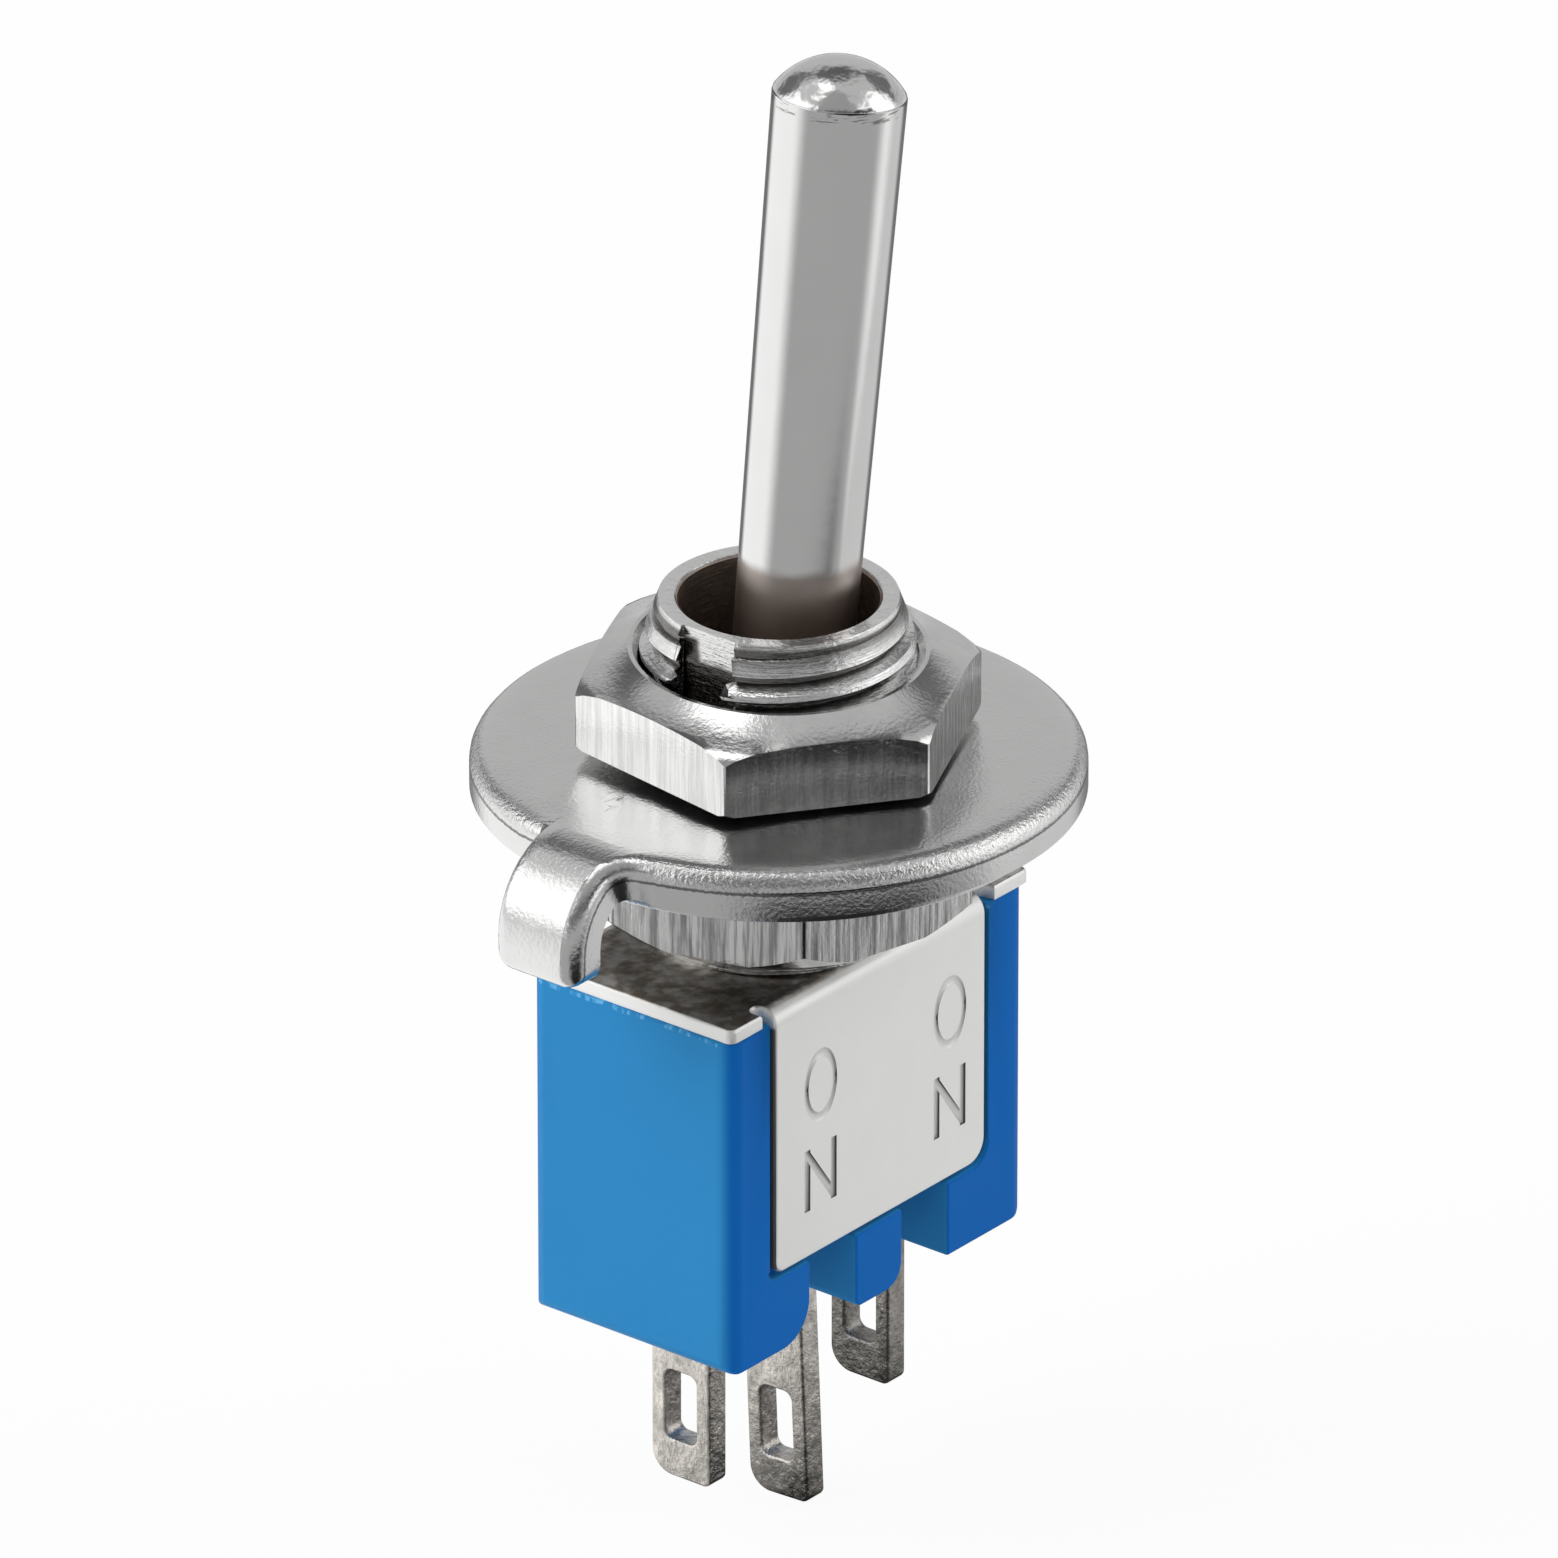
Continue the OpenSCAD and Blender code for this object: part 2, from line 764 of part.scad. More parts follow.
// Middle terminal: its lug leans a little, and its head is the bar that the rocker tilts on
module terminal_middle() {
    bar_l = rocker_w + 2 * rocker_t + 0.3;
    color("#a39c92")
    union() {
        along(terminal_t) {
            translate([0, case_z])
                rotate(-middle_lean)
                    lug(middle_reach);
            translate([-terminal_w / 2, case_z])
                square([terminal_w, fulcrum_z - case_z]);
        }
        across(bar_l)
            translate([0, fulcrum_z])
                circle(fulcrum_r);
    }
}

case();
frame();
bushing();
pivot_pin();
panel_nut_upper();
locating_washer();
lock_washer();
panel_nut_lower();
lever();
plunger();
plunger_spring();
rocker();
rocker_contact(-1);  // rocker_contact_left
rocker_contact(1);  // rocker_contact_right
terminal_left();
terminal_middle();
terminal_right();
fixed_contact(-1);  // fixed_contact_left
fixed_contact(1);  // fixed_contact_right
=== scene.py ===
import random
from math import acos, atan2, ceil, cos, floor, pi, radians, sin, sqrt

import bmesh
import bpy
from mathutils import Matrix, Vector


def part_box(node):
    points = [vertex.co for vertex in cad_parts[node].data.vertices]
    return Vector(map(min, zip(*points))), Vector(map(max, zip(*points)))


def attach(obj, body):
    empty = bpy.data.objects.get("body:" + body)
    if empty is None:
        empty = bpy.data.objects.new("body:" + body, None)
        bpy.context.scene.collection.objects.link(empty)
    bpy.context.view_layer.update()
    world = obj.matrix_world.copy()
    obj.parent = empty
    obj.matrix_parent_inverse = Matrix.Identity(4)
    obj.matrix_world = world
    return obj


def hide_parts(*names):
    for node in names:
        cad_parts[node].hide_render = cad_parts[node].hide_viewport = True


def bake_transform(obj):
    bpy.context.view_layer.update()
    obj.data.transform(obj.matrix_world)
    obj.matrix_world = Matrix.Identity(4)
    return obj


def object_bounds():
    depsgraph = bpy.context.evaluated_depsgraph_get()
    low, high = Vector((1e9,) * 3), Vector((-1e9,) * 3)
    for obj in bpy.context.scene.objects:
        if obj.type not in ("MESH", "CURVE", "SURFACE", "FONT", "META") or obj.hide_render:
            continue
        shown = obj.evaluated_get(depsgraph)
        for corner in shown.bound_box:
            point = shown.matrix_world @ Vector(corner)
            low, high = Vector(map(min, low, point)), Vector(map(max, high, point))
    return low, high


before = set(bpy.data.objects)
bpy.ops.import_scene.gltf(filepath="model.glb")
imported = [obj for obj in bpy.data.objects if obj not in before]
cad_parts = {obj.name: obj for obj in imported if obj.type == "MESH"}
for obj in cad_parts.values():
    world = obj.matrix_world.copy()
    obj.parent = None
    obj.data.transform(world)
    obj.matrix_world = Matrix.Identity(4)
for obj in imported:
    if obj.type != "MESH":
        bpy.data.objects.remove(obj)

cad_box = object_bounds()

# Camera. The photograph looks down on the keyway end of the switch through a very long lens, so its
# edges stay parallel. Sizes in this file are millimetres; a finished mesh is scaled to metres.
MM = 0.001
IMAGE_PX = 1558
FOCAL_PX = 23999
SENSOR_MM = 36
CAMERA_AZIMUTH = radians(-51.24)
CAMERA_ELEVATION = radians(25.94)
CAMERA_DISTANCE = 420
MOUTH_Z = 3.6
MOUTH_PX = (778.8, 593.5)

camera_back = Vector((
    sin(CAMERA_AZIMUTH) * cos(CAMERA_ELEVATION),
    -cos(CAMERA_AZIMUTH) * cos(CAMERA_ELEVATION),
    sin(CAMERA_ELEVATION),
))
camera_right = Vector((cos(CAMERA_AZIMUTH), sin(CAMERA_AZIMUTH), 0))
camera_up = camera_back.cross(camera_right)
mm_per_px = CAMERA_DISTANCE / FOCAL_PX
camera_place = (
    Vector((0, 0, MOUTH_Z))
    + camera_back * CAMERA_DISTANCE
    - camera_right * (MOUTH_PX[0] - IMAGE_PX / 2) * mm_per_px
    + camera_up * (MOUTH_PX[1] - IMAGE_PX / 2) * mm_per_px
)

lens = bpy.data.cameras.new("photo_camera")
lens.sensor_width = SENSOR_MM
lens.lens = FOCAL_PX / IMAGE_PX * SENSOR_MM
lens.clip_start = 0.01
lens.clip_end = 10
camera = bpy.data.objects.new("photo_camera", lens)
camera.matrix_world = Matrix.Translation(camera_place * MM) @ Matrix(
    (camera_right, camera_up, camera_back)
).transposed().to_4x4()
bpy.context.scene.collection.objects.link(camera)
bpy.context.scene.camera = camera
bpy.context.scene.view_settings.view_transform = "Standard"


# Studio. A pale floor under the lugs, a soft tent of light and three broad lamps. Reflections see
# brighter and darker areas on the floor and in the tent, which give polished metal its bands.
class Wire:
    """A socket in a node graph. A sum written with it adds the Math nodes of that sum."""

    def __init__(self, graph, socket):
        self.graph = graph
        self.socket = socket

    def __add__(self, other):
        return self.graph.sum("ADD", self, other)

    def __sub__(self, other):
        return self.graph.sum("SUBTRACT", self, other)

    def __rsub__(self, other):
        return self.graph.sum("SUBTRACT", other, self)

    def __mul__(self, other):
        return self.graph.sum("MULTIPLY", self, other)

    def __abs__(self):
        return self.graph.sum("ABSOLUTE", self)

    __radd__ = __add__
    __rmul__ = __mul__


class Graph:
    """The node tree of a material or of the world."""

    def __init__(self, owner):
        owner.use_nodes = True
        self.tree = owner.node_tree
        self.tree.nodes.clear()

    def node(self, kind, settings=None, sockets=None, output=0):
        node = self.tree.nodes.new(kind)
        for name, value in (settings or {}).items():
            setattr(node, name, value)
        for name, value in (sockets or {}).items():
            if isinstance(value, Wire):
                self.tree.links.new(value.socket, node.inputs[name])
            else:
                node.inputs[name].default_value = value
        return Wire(self, node.outputs[output]) if node.outputs else None

    def sum(self, operation, *terms):
        return self.node("ShaderNodeMath", {"operation": operation}, dict(enumerate(terms)))

    def part(self, vector, axis):
        return self.node("ShaderNodeSeparateXYZ", {}, {0: vector}, axis)

    def step(self, value, start, end, low=0.0, high=1.0):
        """Low below start, high above end, and a soft step between."""
        return self.node(
            "ShaderNodeMapRange",
            {"interpolation_type": "SMOOTHSTEP"},
            {"Value": value, "From Min": start, "From Max": end, "To Min": low, "To Max": high},
        )

    def mix(self, low, high, factor):
        """The colour low where factor is 0, and high where it is 1."""
        return self.node("ShaderNodeMix", {"data_type": "RGBA"}, {0: factor, 6: low, 7: high}, 2)

    def ray(self, kind):
        return self.node("ShaderNodeLightPath", output=f"Is {kind} Ray")

    def bump(self, value, middle, flat, fade):
        """1 within flat of the middle, and 0 from flat + fade on."""
        return self.step(abs(value - middle), flat, flat + fade, 1, 0)


WHITE = (1, 1, 1, 1)
DEGREES = 180 / pi
camera_front = Vector((camera_back.x, camera_back.y, 0)).normalized()


def camera_parts(graph, vector):
    """How far a vector goes to the right of the camera's view, towards the camera, and up."""
    x, y, z = (graph.part(vector, axis) for axis in range(3))
    return x * camera_right.x + y * camera_right.y, x * camera_front.x + y * camera_front.y, z


# Three numbers are a band: its middle, half of its flat part and its fade. Two are where a step starts
# and ends. A heading, in degrees, is 0 towards the camera and grows to the right, and a height is 0 at
# the horizon. The overhead panel is given by the parts of a unit vector.
TENT_GLOW = 0.62
AHEAD = (0, 46, 14)
AHEAD_LOW = (24, 6, 8)
AHEAD_HIGH = (24, 34)
MID_AHEAD = (3, 14, 16)
MID_AHEAD_HEIGHT = (41, 3, 6)
BEHIND = (138, 156)
BEHIND_HEIGHT = (55, 9, 12)
SIDE_DIM = (135, 13, 10)
SIDE_DIM_HEIGHT = (27, 11, 8)
SIDE_GLOW = (82, 26, 12)
SIDE_GLOW_HEIGHT = (28, 18, 8)
RIGHT_DIM = (52, 18, 6)
RIGHT_DIM_HEIGHT = (31, 8, 5)
OVERHEAD_RIGHT = (-0.25, 0.08, 0.14)
OVERHEAD_FRONT = (-0.1, 0.1, 0.16)
OVERHEAD_UP = (0.5, 0.7)

studio_world = bpy.data.worlds.new("studio")
bpy.context.scene.world = studio_world
sky = Graph(studio_world)
rightward, frontward, upward = camera_parts(sky, sky.node("ShaderNodeTexCoord", output="Generated"))
height = sky.sum("ARCSINE", sky.sum("MINIMUM", upward, 1.0)) * DEGREES
heading = sky.sum("ARCTAN2", rightward, frontward) * DEGREES
ahead = sky.bump(heading, *AHEAD)
dim_back = sky.bump(height, *BEHIND_HEIGHT) * sky.step(abs(heading), *BEHIND)
dim_front = ahead * (0.12 + 0.3 * sky.bump(height, *AHEAD_LOW) + 0.1 * sky.step(height, *AHEAD_HIGH))
dim_front += 0.26 * sky.bump(heading, *MID_AHEAD) * sky.bump(height, *MID_AHEAD_HEIGHT)
dim_side = sky.bump(abs(heading), *SIDE_DIM) * sky.bump(height, *SIDE_DIM_HEIGHT)
side_glow = sky.bump(abs(heading), *SIDE_GLOW) * sky.bump(height, *SIDE_GLOW_HEIGHT)
overhead = sky.bump(rightward, *OVERHEAD_RIGHT) * sky.bump(frontward, *OVERHEAD_FRONT)
overhead = overhead * sky.step(upward, *OVERHEAD_UP)
dim_right = sky.bump(heading, *RIGHT_DIM) * sky.bump(height, *RIGHT_DIM_HEIGHT)
tent = TENT_GLOW - 0.5 * dim_back - dim_front - 0.46 * dim_side + 0.95 * side_glow + 1.6 * overhead
tent = tent * (1 - 0.92 * dim_right)
seen = sky.ray("Camera")
sky_light = sky.node(
    "ShaderNodeBackground", {}, {"Color": WHITE, "Strength": seen + (1 - seen) * tent}
)
sky.node("ShaderNodeOutputWorld", {}, {"Surface": sky_light})

# The floor's patterns go by heading, and by reach, the distance from the origin in millimetres.
FLOOR_RADIUS = 400
FLOOR_WHITE = 0.93
FLOOR_GREY = (0.8, 0.8, 0.8, 1)
FLOOR_GLOW = 1.2
FRONT_NEAR = (7, 60, 14)
FRONT_FAR = (8, 58, 30)
FAR_REACH = (40, 55)
FRONT_DARK = (24, 24, 20)
FRONT_DARK_REACH = (38, 62)
BACK = (130, 148)
BACK_REACH = (95, 140)
RIGHT_START = (62, 80)
RIGHT_START_FAR = (84, 114)
RIGHT_REACH = (70, 110)
FOOT_SHADOW_X = 1.5
FOOT_SHADOW_REACH = (3.2, 6)

floor_z = cad_box[0].z / MM
floor_material = bpy.data.materials.new("studio_floor")
ground = Graph(floor_material)
ground_place = ground.node("ShaderNodeTexCoord", output="Object")
rightward, frontward = camera_parts(ground, ground_place)[:2]
heading = ground.sum("ARCTAN2", rightward, frontward) * DEGREES
reach = ground.sum("SQRT", rightward * rightward + frontward * frontward) * (1 / MM)
far = ground.step(reach, *FAR_REACH)
front = (1 - far) * ground.bump(heading, *FRONT_NEAR) + far * ground.bump(heading, *FRONT_FAR)
front_dark = ground.bump(heading, *FRONT_DARK) * ground.step(reach, *FRONT_DARK_REACH, 1, 0)
back = ground.step(abs(heading), *BACK) * ground.step(reach, *BACK_REACH, 1, 0.45)
right_from, right_full = (
    near + (beyond - near) * far for near, beyond in zip(RIGHT_START, RIGHT_START_FAR)
)
right = ground.step(heading, right_from, right_full) * ground.step(reach, *RIGHT_REACH, 1, 0)
# Painted shadow: the floor's reflections darken round the switch's foot, standing for its own shadow on
# the floor.
foot_x = ground.part(ground_place, 0) * (1 / MM) - FOOT_SHADOW_X
foot_y = ground.part(ground_place, 1) * (1 / MM)
foot = ground.step(ground.sum("SQRT", foot_x * foot_x + foot_y * foot_y), *FOOT_SHADOW_REACH, 0.2, 1)
pattern = foot * (
    FLOOR_GLOW - 0.72 * front - 0.46 * front_dark * front - back - 0.46 * right * (1 - back)
)
shown = ground.ray("Camera")
mirrored = ground.ray("Glossy")
glow = shown + (1 - shown) * pattern
white_ground = ground.node("ShaderNodeEmission", {}, {"Color": WHITE, "Strength": glow})
lit_ground = ground.node("ShaderNodeBsdfDiffuse", {}, {"Color": FLOOR_GREY})
ground_mix = ground.node(
    "ShaderNodeMixShader", {}, {0: shown * FLOOR_WHITE + mirrored, 1: lit_ground, 2: white_ground}
)
ground.node("ShaderNodeOutputMaterial", {}, {"Surface": ground_mix})
disc = bmesh.new()
bmesh.ops.create_circle(disc, cap_ends=True, segments=96, radius=FLOOR_RADIUS)
bmesh.ops.translate(disc, vec=(0, 0, floor_z), verts=disc.verts)
bmesh.ops.scale(disc, vec=(MM, MM, MM), verts=disc.verts)
floor_mesh = bpy.data.meshes.new("studio_floor")
disc.to_mesh(floor_mesh)
disc.free()
floor_mesh.materials.append(floor_material)
floor_piece = bpy.data.objects.new("studio_floor", floor_mesh)
bpy.context.scene.collection.objects.link(floor_piece)


def lamp(name, side, front, up, size, glow):
    """A square lamp aimed at the switch: side, front and up are its place in millimetres, to the
    right of the camera's view, towards the camera and above the seat. Glow is its radiance."""
    place = camera_right * side + camera_front * front + Vector((0, 0, up))
    light = bpy.data.lights.new(name, "AREA")
    light.size = size * MM
    light.energy = glow * pi * (size * MM) ** 2
    piece = bpy.data.objects.new(name, light)
    piece.visible_glossy = False
    aim = place.to_track_quat("Z", "Y").to_matrix().to_4x4()
    piece.matrix_world = Matrix.Translation(place * MM) @ aim
    bpy.context.scene.collection.objects.link(piece)


lamp("left_lamp", -210, 40, 190, 170, 4.2)
lamp("right_lamp", 220, -60, 185, 130, 2.8)
lamp("front_lamp", 60, 200, 260, 100, 2.4)


# Case. A moulded housing of blue thermoplastic with softly rounded edges, a fine matt grain and paler
# blue dashes along its top edge. It is open at the top, and the frame's flaps lie in its side recesses.
SHARP_ANGLE = radians(25)


def soft_copy(node, radius, steps=2, crisp=lambda place: False):
    """A copy in millimetres of a solid, with whole faces and with its sharp edges rounded, but for
    those that end where crisp is true."""
    bm = bmesh.new()
    bm.from_mesh(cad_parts[node].data)
    bmesh.ops.scale(bm, vec=(1 / MM,) * 3, verts=bm.verts)
    bmesh.ops.remove_doubles(bm, verts=bm.verts, dist=0.0005)
    bmesh.ops.dissolve_limit(bm, angle_limit=radians(0.5), verts=bm.verts, edges=bm.edges)
    edges = [
        e for e in bm.edges
        if e.calc_face_angle() > SHARP_ANGLE and not any(crisp(v.co) for v in e.verts)
    ]
    bmesh.ops.bevel(
        bm, geom=edges, offset=radius, offset_type="OFFSET", segments=steps, profile=0.5,
        affect="EDGES", material=-1, clamp_overlap=False, miter_outer="ARC",
    )
    return bm


SMALLEST_EDGE = 0.0003


def finish_piece(name, bm, finish, body="body", stands_for=(), crease=40):
    """Makes a piece from a mesh in millimetres, and fixes it to its body if it has one body."""
    bmesh.ops.remove_doubles(bm, verts=bm.verts, dist=SMALLEST_EDGE)
    bmesh.ops.dissolve_degenerate(bm, edges=bm.edges, dist=SMALLEST_EDGE)
    bmesh.ops.scale(bm, vec=(MM, MM, MM), verts=bm.verts)
    mesh = bpy.data.meshes.new(name)
    bm.to_mesh(mesh)
    bm.free()
    mesh.materials.append(finish.material)
    mesh.shade_smooth()
    mesh.set_sharp_from_angle(angle=radians(crease))
    piece = bpy.data.objects.new(name, mesh)
    bpy.context.scene.collection.objects.link(piece)
    weigh = piece.modifiers.new("weigh_normals", "WEIGHTED_NORMAL")
    weigh.keep_sharp = True
    if body:
        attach(piece, body)
    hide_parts(*stands_for)
    return piece


class Finish(Graph):
    """A material with one surface shader. Its patterns are laid out in millimetres on the piece."""

    def __init__(self, name, colour, **constants):
        self.material = bpy.data.materials.new(name)
        super().__init__(self.material)
        self.shader = self.tree.nodes.new("ShaderNodeBsdfPrincipled")
        surface = Wire(self, self.shader.outputs[0])
        self.node("ShaderNodeOutputMaterial", {}, {"Surface": surface})
        self.colour = (*colour, 1)
        self.shader.inputs["Base Color"].default_value = self.colour
        for socket, value in constants.items():
            self.shader.inputs[socket.replace("_", " ")].default_value = value
        here = self.node("ShaderNodeTexCoord", output="Object")
        self.place = self.node(
            "ShaderNodeVectorMath", {"operation": "SCALE"}, {0: here, "Scale": 1 / MM}
        )
        self.facing = self.node("ShaderNodeTexCoord", output="Normal")

    def grain(self, per_mm, detail=3.0, stretch=(1, 1, 1), rough=0.5):
        """Noise from 0 to 1 with per_mm grains to a millimetre."""
        where = self.node(
            "ShaderNodeVectorMath", {"operation": "MULTIPLY"}, {0: self.place, 1: stretch}
        )
        return self.node(
            "ShaderNodeTexNoise", {},
            {"Vector": where, "Scale": per_mm, "Detail": detail, "Roughness": rough},
        )

    def shade(self, factor):
        """The finish's own colour, darkened or lightened by a factor about 1."""
        grey = self.node("ShaderNodeCombineColor", {}, {0: factor, 1: factor, 2: factor})
        return self.node(
            "ShaderNodeMix", {"data_type": "RGBA", "blend_type": "MULTIPLY"},
            {0: 1.0, 6: self.colour, 7: grey}, 2,
        )

    def relief(self, height, depth, over=None):
        """A bump of that depth in millimetres, on top of another bump."""
        sockets = {"Strength": 1.0, "Distance": depth * MM, "Height": height}
        if over:
            sockets["Normal"] = over
        return self.node("ShaderNodeBump", {}, sockets)

    def feed(self, **wires):
        for socket, wire in wires.items():
            self.tree.links.new(wire.socket, self.shader.inputs[socket.replace("_", " ")])


CASE_BLUE = (0.025, 0.235, 0.53)
CASE_SHADED_BLUE = (0.0, 0.125, 0.465, 1)
PALE_DASH_BLUE = (0.12, 0.42, 0.73, 1)
CASE_EDGE = 0.06
CASE_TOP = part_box("case")[1].z / MM
RECESS_RIM_H = 0.2
RECESS_END_X = 3.3
RECESS_INNER_Y = 1.5
SHADED_SIDE_FACING = (0.2, 0.8)
PALE_DASH_BAND = (CASE_TOP, 0.02, 0.03)
PALE_DASH_GRAIN = (0.48, 0.58)


def at_recess_rim(place):
    at_top = place.z > CASE_TOP - RECESS_RIM_H
    return at_top and abs(place.x) < RECESS_END_X and abs(place.y) > RECESS_INNER_Y


blue_plastic = Finish("case_plastic", CASE_BLUE, IOR=1.18)
blue_cloud = blue_plastic.grain(0.5)
blue_grain = blue_plastic.grain(22, 2)
# Painted shade: faces that look along Y, the case's long sides, take a deeper blue than its ends.
shaded_long_side = blue_plastic.step(abs(blue_plastic.part(blue_plastic.facing, 1)), *SHADED_SIDE_FACING)
# Paler blue dashes in a thin band along the top edge, off the long sides.
pale_top_dashes = blue_plastic.bump(
    blue_plastic.part(blue_plastic.place, 2) + 0.1 * blue_plastic.grain(3, 2), *PALE_DASH_BAND
) * blue_plastic.step(blue_plastic.grain(5, 3, (1, 1, 0)), *PALE_DASH_GRAIN) * (1 - shaded_long_side)
blue_plastic.feed(
    Base_Color=blue_plastic.mix(
        blue_plastic.mix(blue_plastic.shade(0.94 + 0.12 * blue_cloud), CASE_SHADED_BLUE, shaded_long_side),
        PALE_DASH_BLUE, pale_top_dashes,
    ),
    Roughness=0.4 + 0.12 * blue_cloud,
    Normal=blue_plastic.relief(blue_grain, 0.0025, blue_plastic.relief(blue_cloud, 0.01)),
)
finish_piece(
    "moulded_case", soft_copy("case", CASE_EDGE, 3, crisp=at_recess_rim), blue_plastic,
    stands_for=["case"], crease=50,
)


# Frame. Nickel-plated spring sheet, blanked flat and folded: a top plate with a flap down each side of
# the case. It is held by the bushing's riveted foot. One flap is stamped with O over N at both ends.
SHEET_T = 0.26
FRAME_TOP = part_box("frame")[1].z / MM
FLAP_HALF = 2.97
FLAP_LOW = -7.9
FLAP_FACE_Y = 2.31
PLATE_Y = 2.26
PLATE_ENDS = (-4.12, 4.27)
PLATE_CORNER_R = 0.15
FLAP_CORNER_R = (0.25, 0.45)
FRAME_BEND_R = 0.12
FRAME_EDGE = 0.07
RELIEF_R = 0.15
FOOT_R = 1.6


def arc(x, y, radius, start, end, steps=8):
    """Points along an arc, between two angles in degrees."""
    turns = [radians(start + (end - start) * i / steps) for i in range(steps + 1)]
    return [(x + radius * cos(t), y + radius * sin(t)) for t in turns]


def blank(points, bottom, thickness):
    """A flat blank with that outline, and the edges round its upper side."""
    bm = bmesh.new()
    face = bm.faces.new([bm.verts.new((x, y, bottom)) for x, y in points])
    raised = bmesh.ops.extrude_face_region(bm, geom=[face], use_keep_orig=True)["geom"]
    top = [g for g in raised if isinstance(g, bmesh.types.BMVert)]
    bmesh.ops.translate(bm, vec=(0, 0, thickness), verts=top)
    rim = [g for g in raised if isinstance(g, bmesh.types.BMEdge)]
    bmesh.ops.recalc_face_normals(bm, faces=bm.faces)
    return bm, rim


def round_rim(bm, edges, radius, steps):
    bmesh.ops.bevel(
        bm, geom=edges, offset=radius, offset_type="OFFSET", segments=steps, profile=0.5,
        affect="EDGES", material=-1,
    )


def fold(bm, out, start, under, inner_r, thickness, within, steps=10):
    """Folds down by a right angle what lies past start in the direction out, between two limits
    across it. The lower limit is to the left when looking out."""
    out = Vector(out)
    along = Vector((0, 0, 1)).cross(out)
    middle_r = inner_r + thickness / 2
    length = middle_r * pi / 2
    for i in range(steps + 1):
        bmesh.ops.bisect_plane(
            bm, geom=[*bm.verts, *bm.edges, *bm.faces], dist=1e-5,
            plane_co=out * (start + length * i / steps), plane_no=out,
        )
    for v in bm.verts:
        past = v.co.dot(out) - start
        if past > 0 and within[0] < -v.co.dot(along) < within[1]:
            turn = min(past / middle_r, pi / 2)
            radius = inner_r + v.co.z - under
            flat = v.co.dot(along) * along
            v.co = flat + out * (start + radius * sin(turn))
            v.co.z = under - inner_r + radius * cos(turn) - max(past - length, 0)


def frame_half(side):
    """The blank's outline on one long side, from its +X end to its -X end, for side = -1 or 1."""
    flap_end = FLAP_FACE_Y - SHEET_T - FRAME_BEND_R + (FRAME_BEND_R + SHEET_T / 2) * pi / 2
    flap_end += FRAME_TOP - SHEET_T - FRAME_BEND_R - FLAP_LOW
    left, right = PLATE_ENDS
    left_r, right_r = FLAP_CORNER_R
    relief_x = FLAP_HALF + RELIEF_R
    relief_y = FLAP_FACE_Y - SHEET_T - FRAME_BEND_R + RELIEF_R
    r = PLATE_CORNER_R
    points = arc(right - r, PLATE_Y - r, r, 0, 90, 4)
    points += [(relief_x + RELIEF_R, PLATE_Y)]
    points += arc(relief_x, relief_y, RELIEF_R, 0, -180)
    points += arc(FLAP_HALF - right_r, flap_end - right_r, right_r, 0, 90)
    points += arc(left_r - FLAP_HALF, flap_end - left_r, left_r, 90, 180)
    points += arc(-relief_x, relief_y, RELIEF_R, 0, -180)
    points += [(-relief_x - RELIEF_R, PLATE_Y)]
    points += arc(left + r, PLATE_Y - r, r, 90, 180, 4)
    return points if side > 0 else [(x, -y) for x, y in reversed(points)]


def combine(first, second, operation):
    """Cuts or intersects two closed meshes by the exact solver, and frees both."""
    works = []
    for bm in (first, second):
        mesh = bpy.data.meshes.new("work")
        bm.to_mesh(mesh)
        bm.free()
        works.append(bpy.data.objects.new("work", mesh))
        bpy.context.scene.collection.objects.link(works[-1])
    tool = works[0].modifiers.new("combine", "BOOLEAN")
    tool.operation = operation
    tool.solver = "EXACT"
    tool.object = works[1]
    bpy.context.view_layer.update()
    result = bmesh.new()
    result.from_object(works[0], bpy.context.evaluated_depsgraph_get())
    for work in works:
        bpy.data.meshes.remove(work.data)
    return result


def rod(start, end, radius, segments=16):
    """A straight rod with flat ends between two points."""
    start, end = Vector(start), Vector(end)
    bm = bmesh.new()
    bmesh.ops.create_cone(
        bm, cap_ends=True, segments=segments, radius1=radius, radius2=radius, depth=(end - start).length
    )
    bmesh.ops.transform(
        bm, matrix=(end - start).to_track_quat("Z", "Y").to_matrix().to_4x4(), verts=bm.verts
    )
    bmesh.ops.translate(bm, vec=(start + end) / 2, verts=bm.verts)
    return bm


def joined(*parts):
    """One mesh that holds several."""
    bm = bmesh.new()
    for part in parts:
        mesh = bpy.data.meshes.new("work")
        part.to_mesh(mesh)
        part.free()
        bm.from_mesh(mesh)
        bpy.data.meshes.remove(mesh)
    return bm


LETTER_X = (-1.7, 1.95)
O_SIZE = (0.4, 0.62)
O_Z = -4.615
N_SIZE = (0.37, 0.6)
N_Z = -6.385
O_STROKE_R = 0.065
N_STROKE_R = 0.085
STROKE_OUT = 0.03


def letter_o(x):
    bm = bmesh.new()
    ring = bmesh.ops.create_circle(bm, segments=12, radius=O_STROKE_R)["verts"]
    bmesh.ops.rotate(bm, matrix=Matrix.Rotation(pi / 2, 3, "X"), verts=ring)
    bmesh.ops.translate(bm, vec=(O_SIZE[0], 0, 0), verts=ring)
    bmesh.ops.rotate(bm, matrix=Matrix.Rotation(pi / 2, 3, "X"), cent=(0, 0, 0), verts=ring)
    bmesh.ops.spin(
        bm, geom=[*bm.verts, *bm.edges], axis=(0, 1, 0), angle=2 * pi, steps=48, use_merge=True
    )
    bmesh.ops.scale(bm, vec=(1, 1, O_SIZE[1] / O_SIZE[0]), verts=bm.verts)
    bmesh.ops.recalc_face_normals(bm, faces=bm.faces)
    bmesh.ops.translate(bm, vec=(x, -FLAP_FACE_Y - STROKE_OUT, O_Z), verts=bm.verts)
    return [bm]


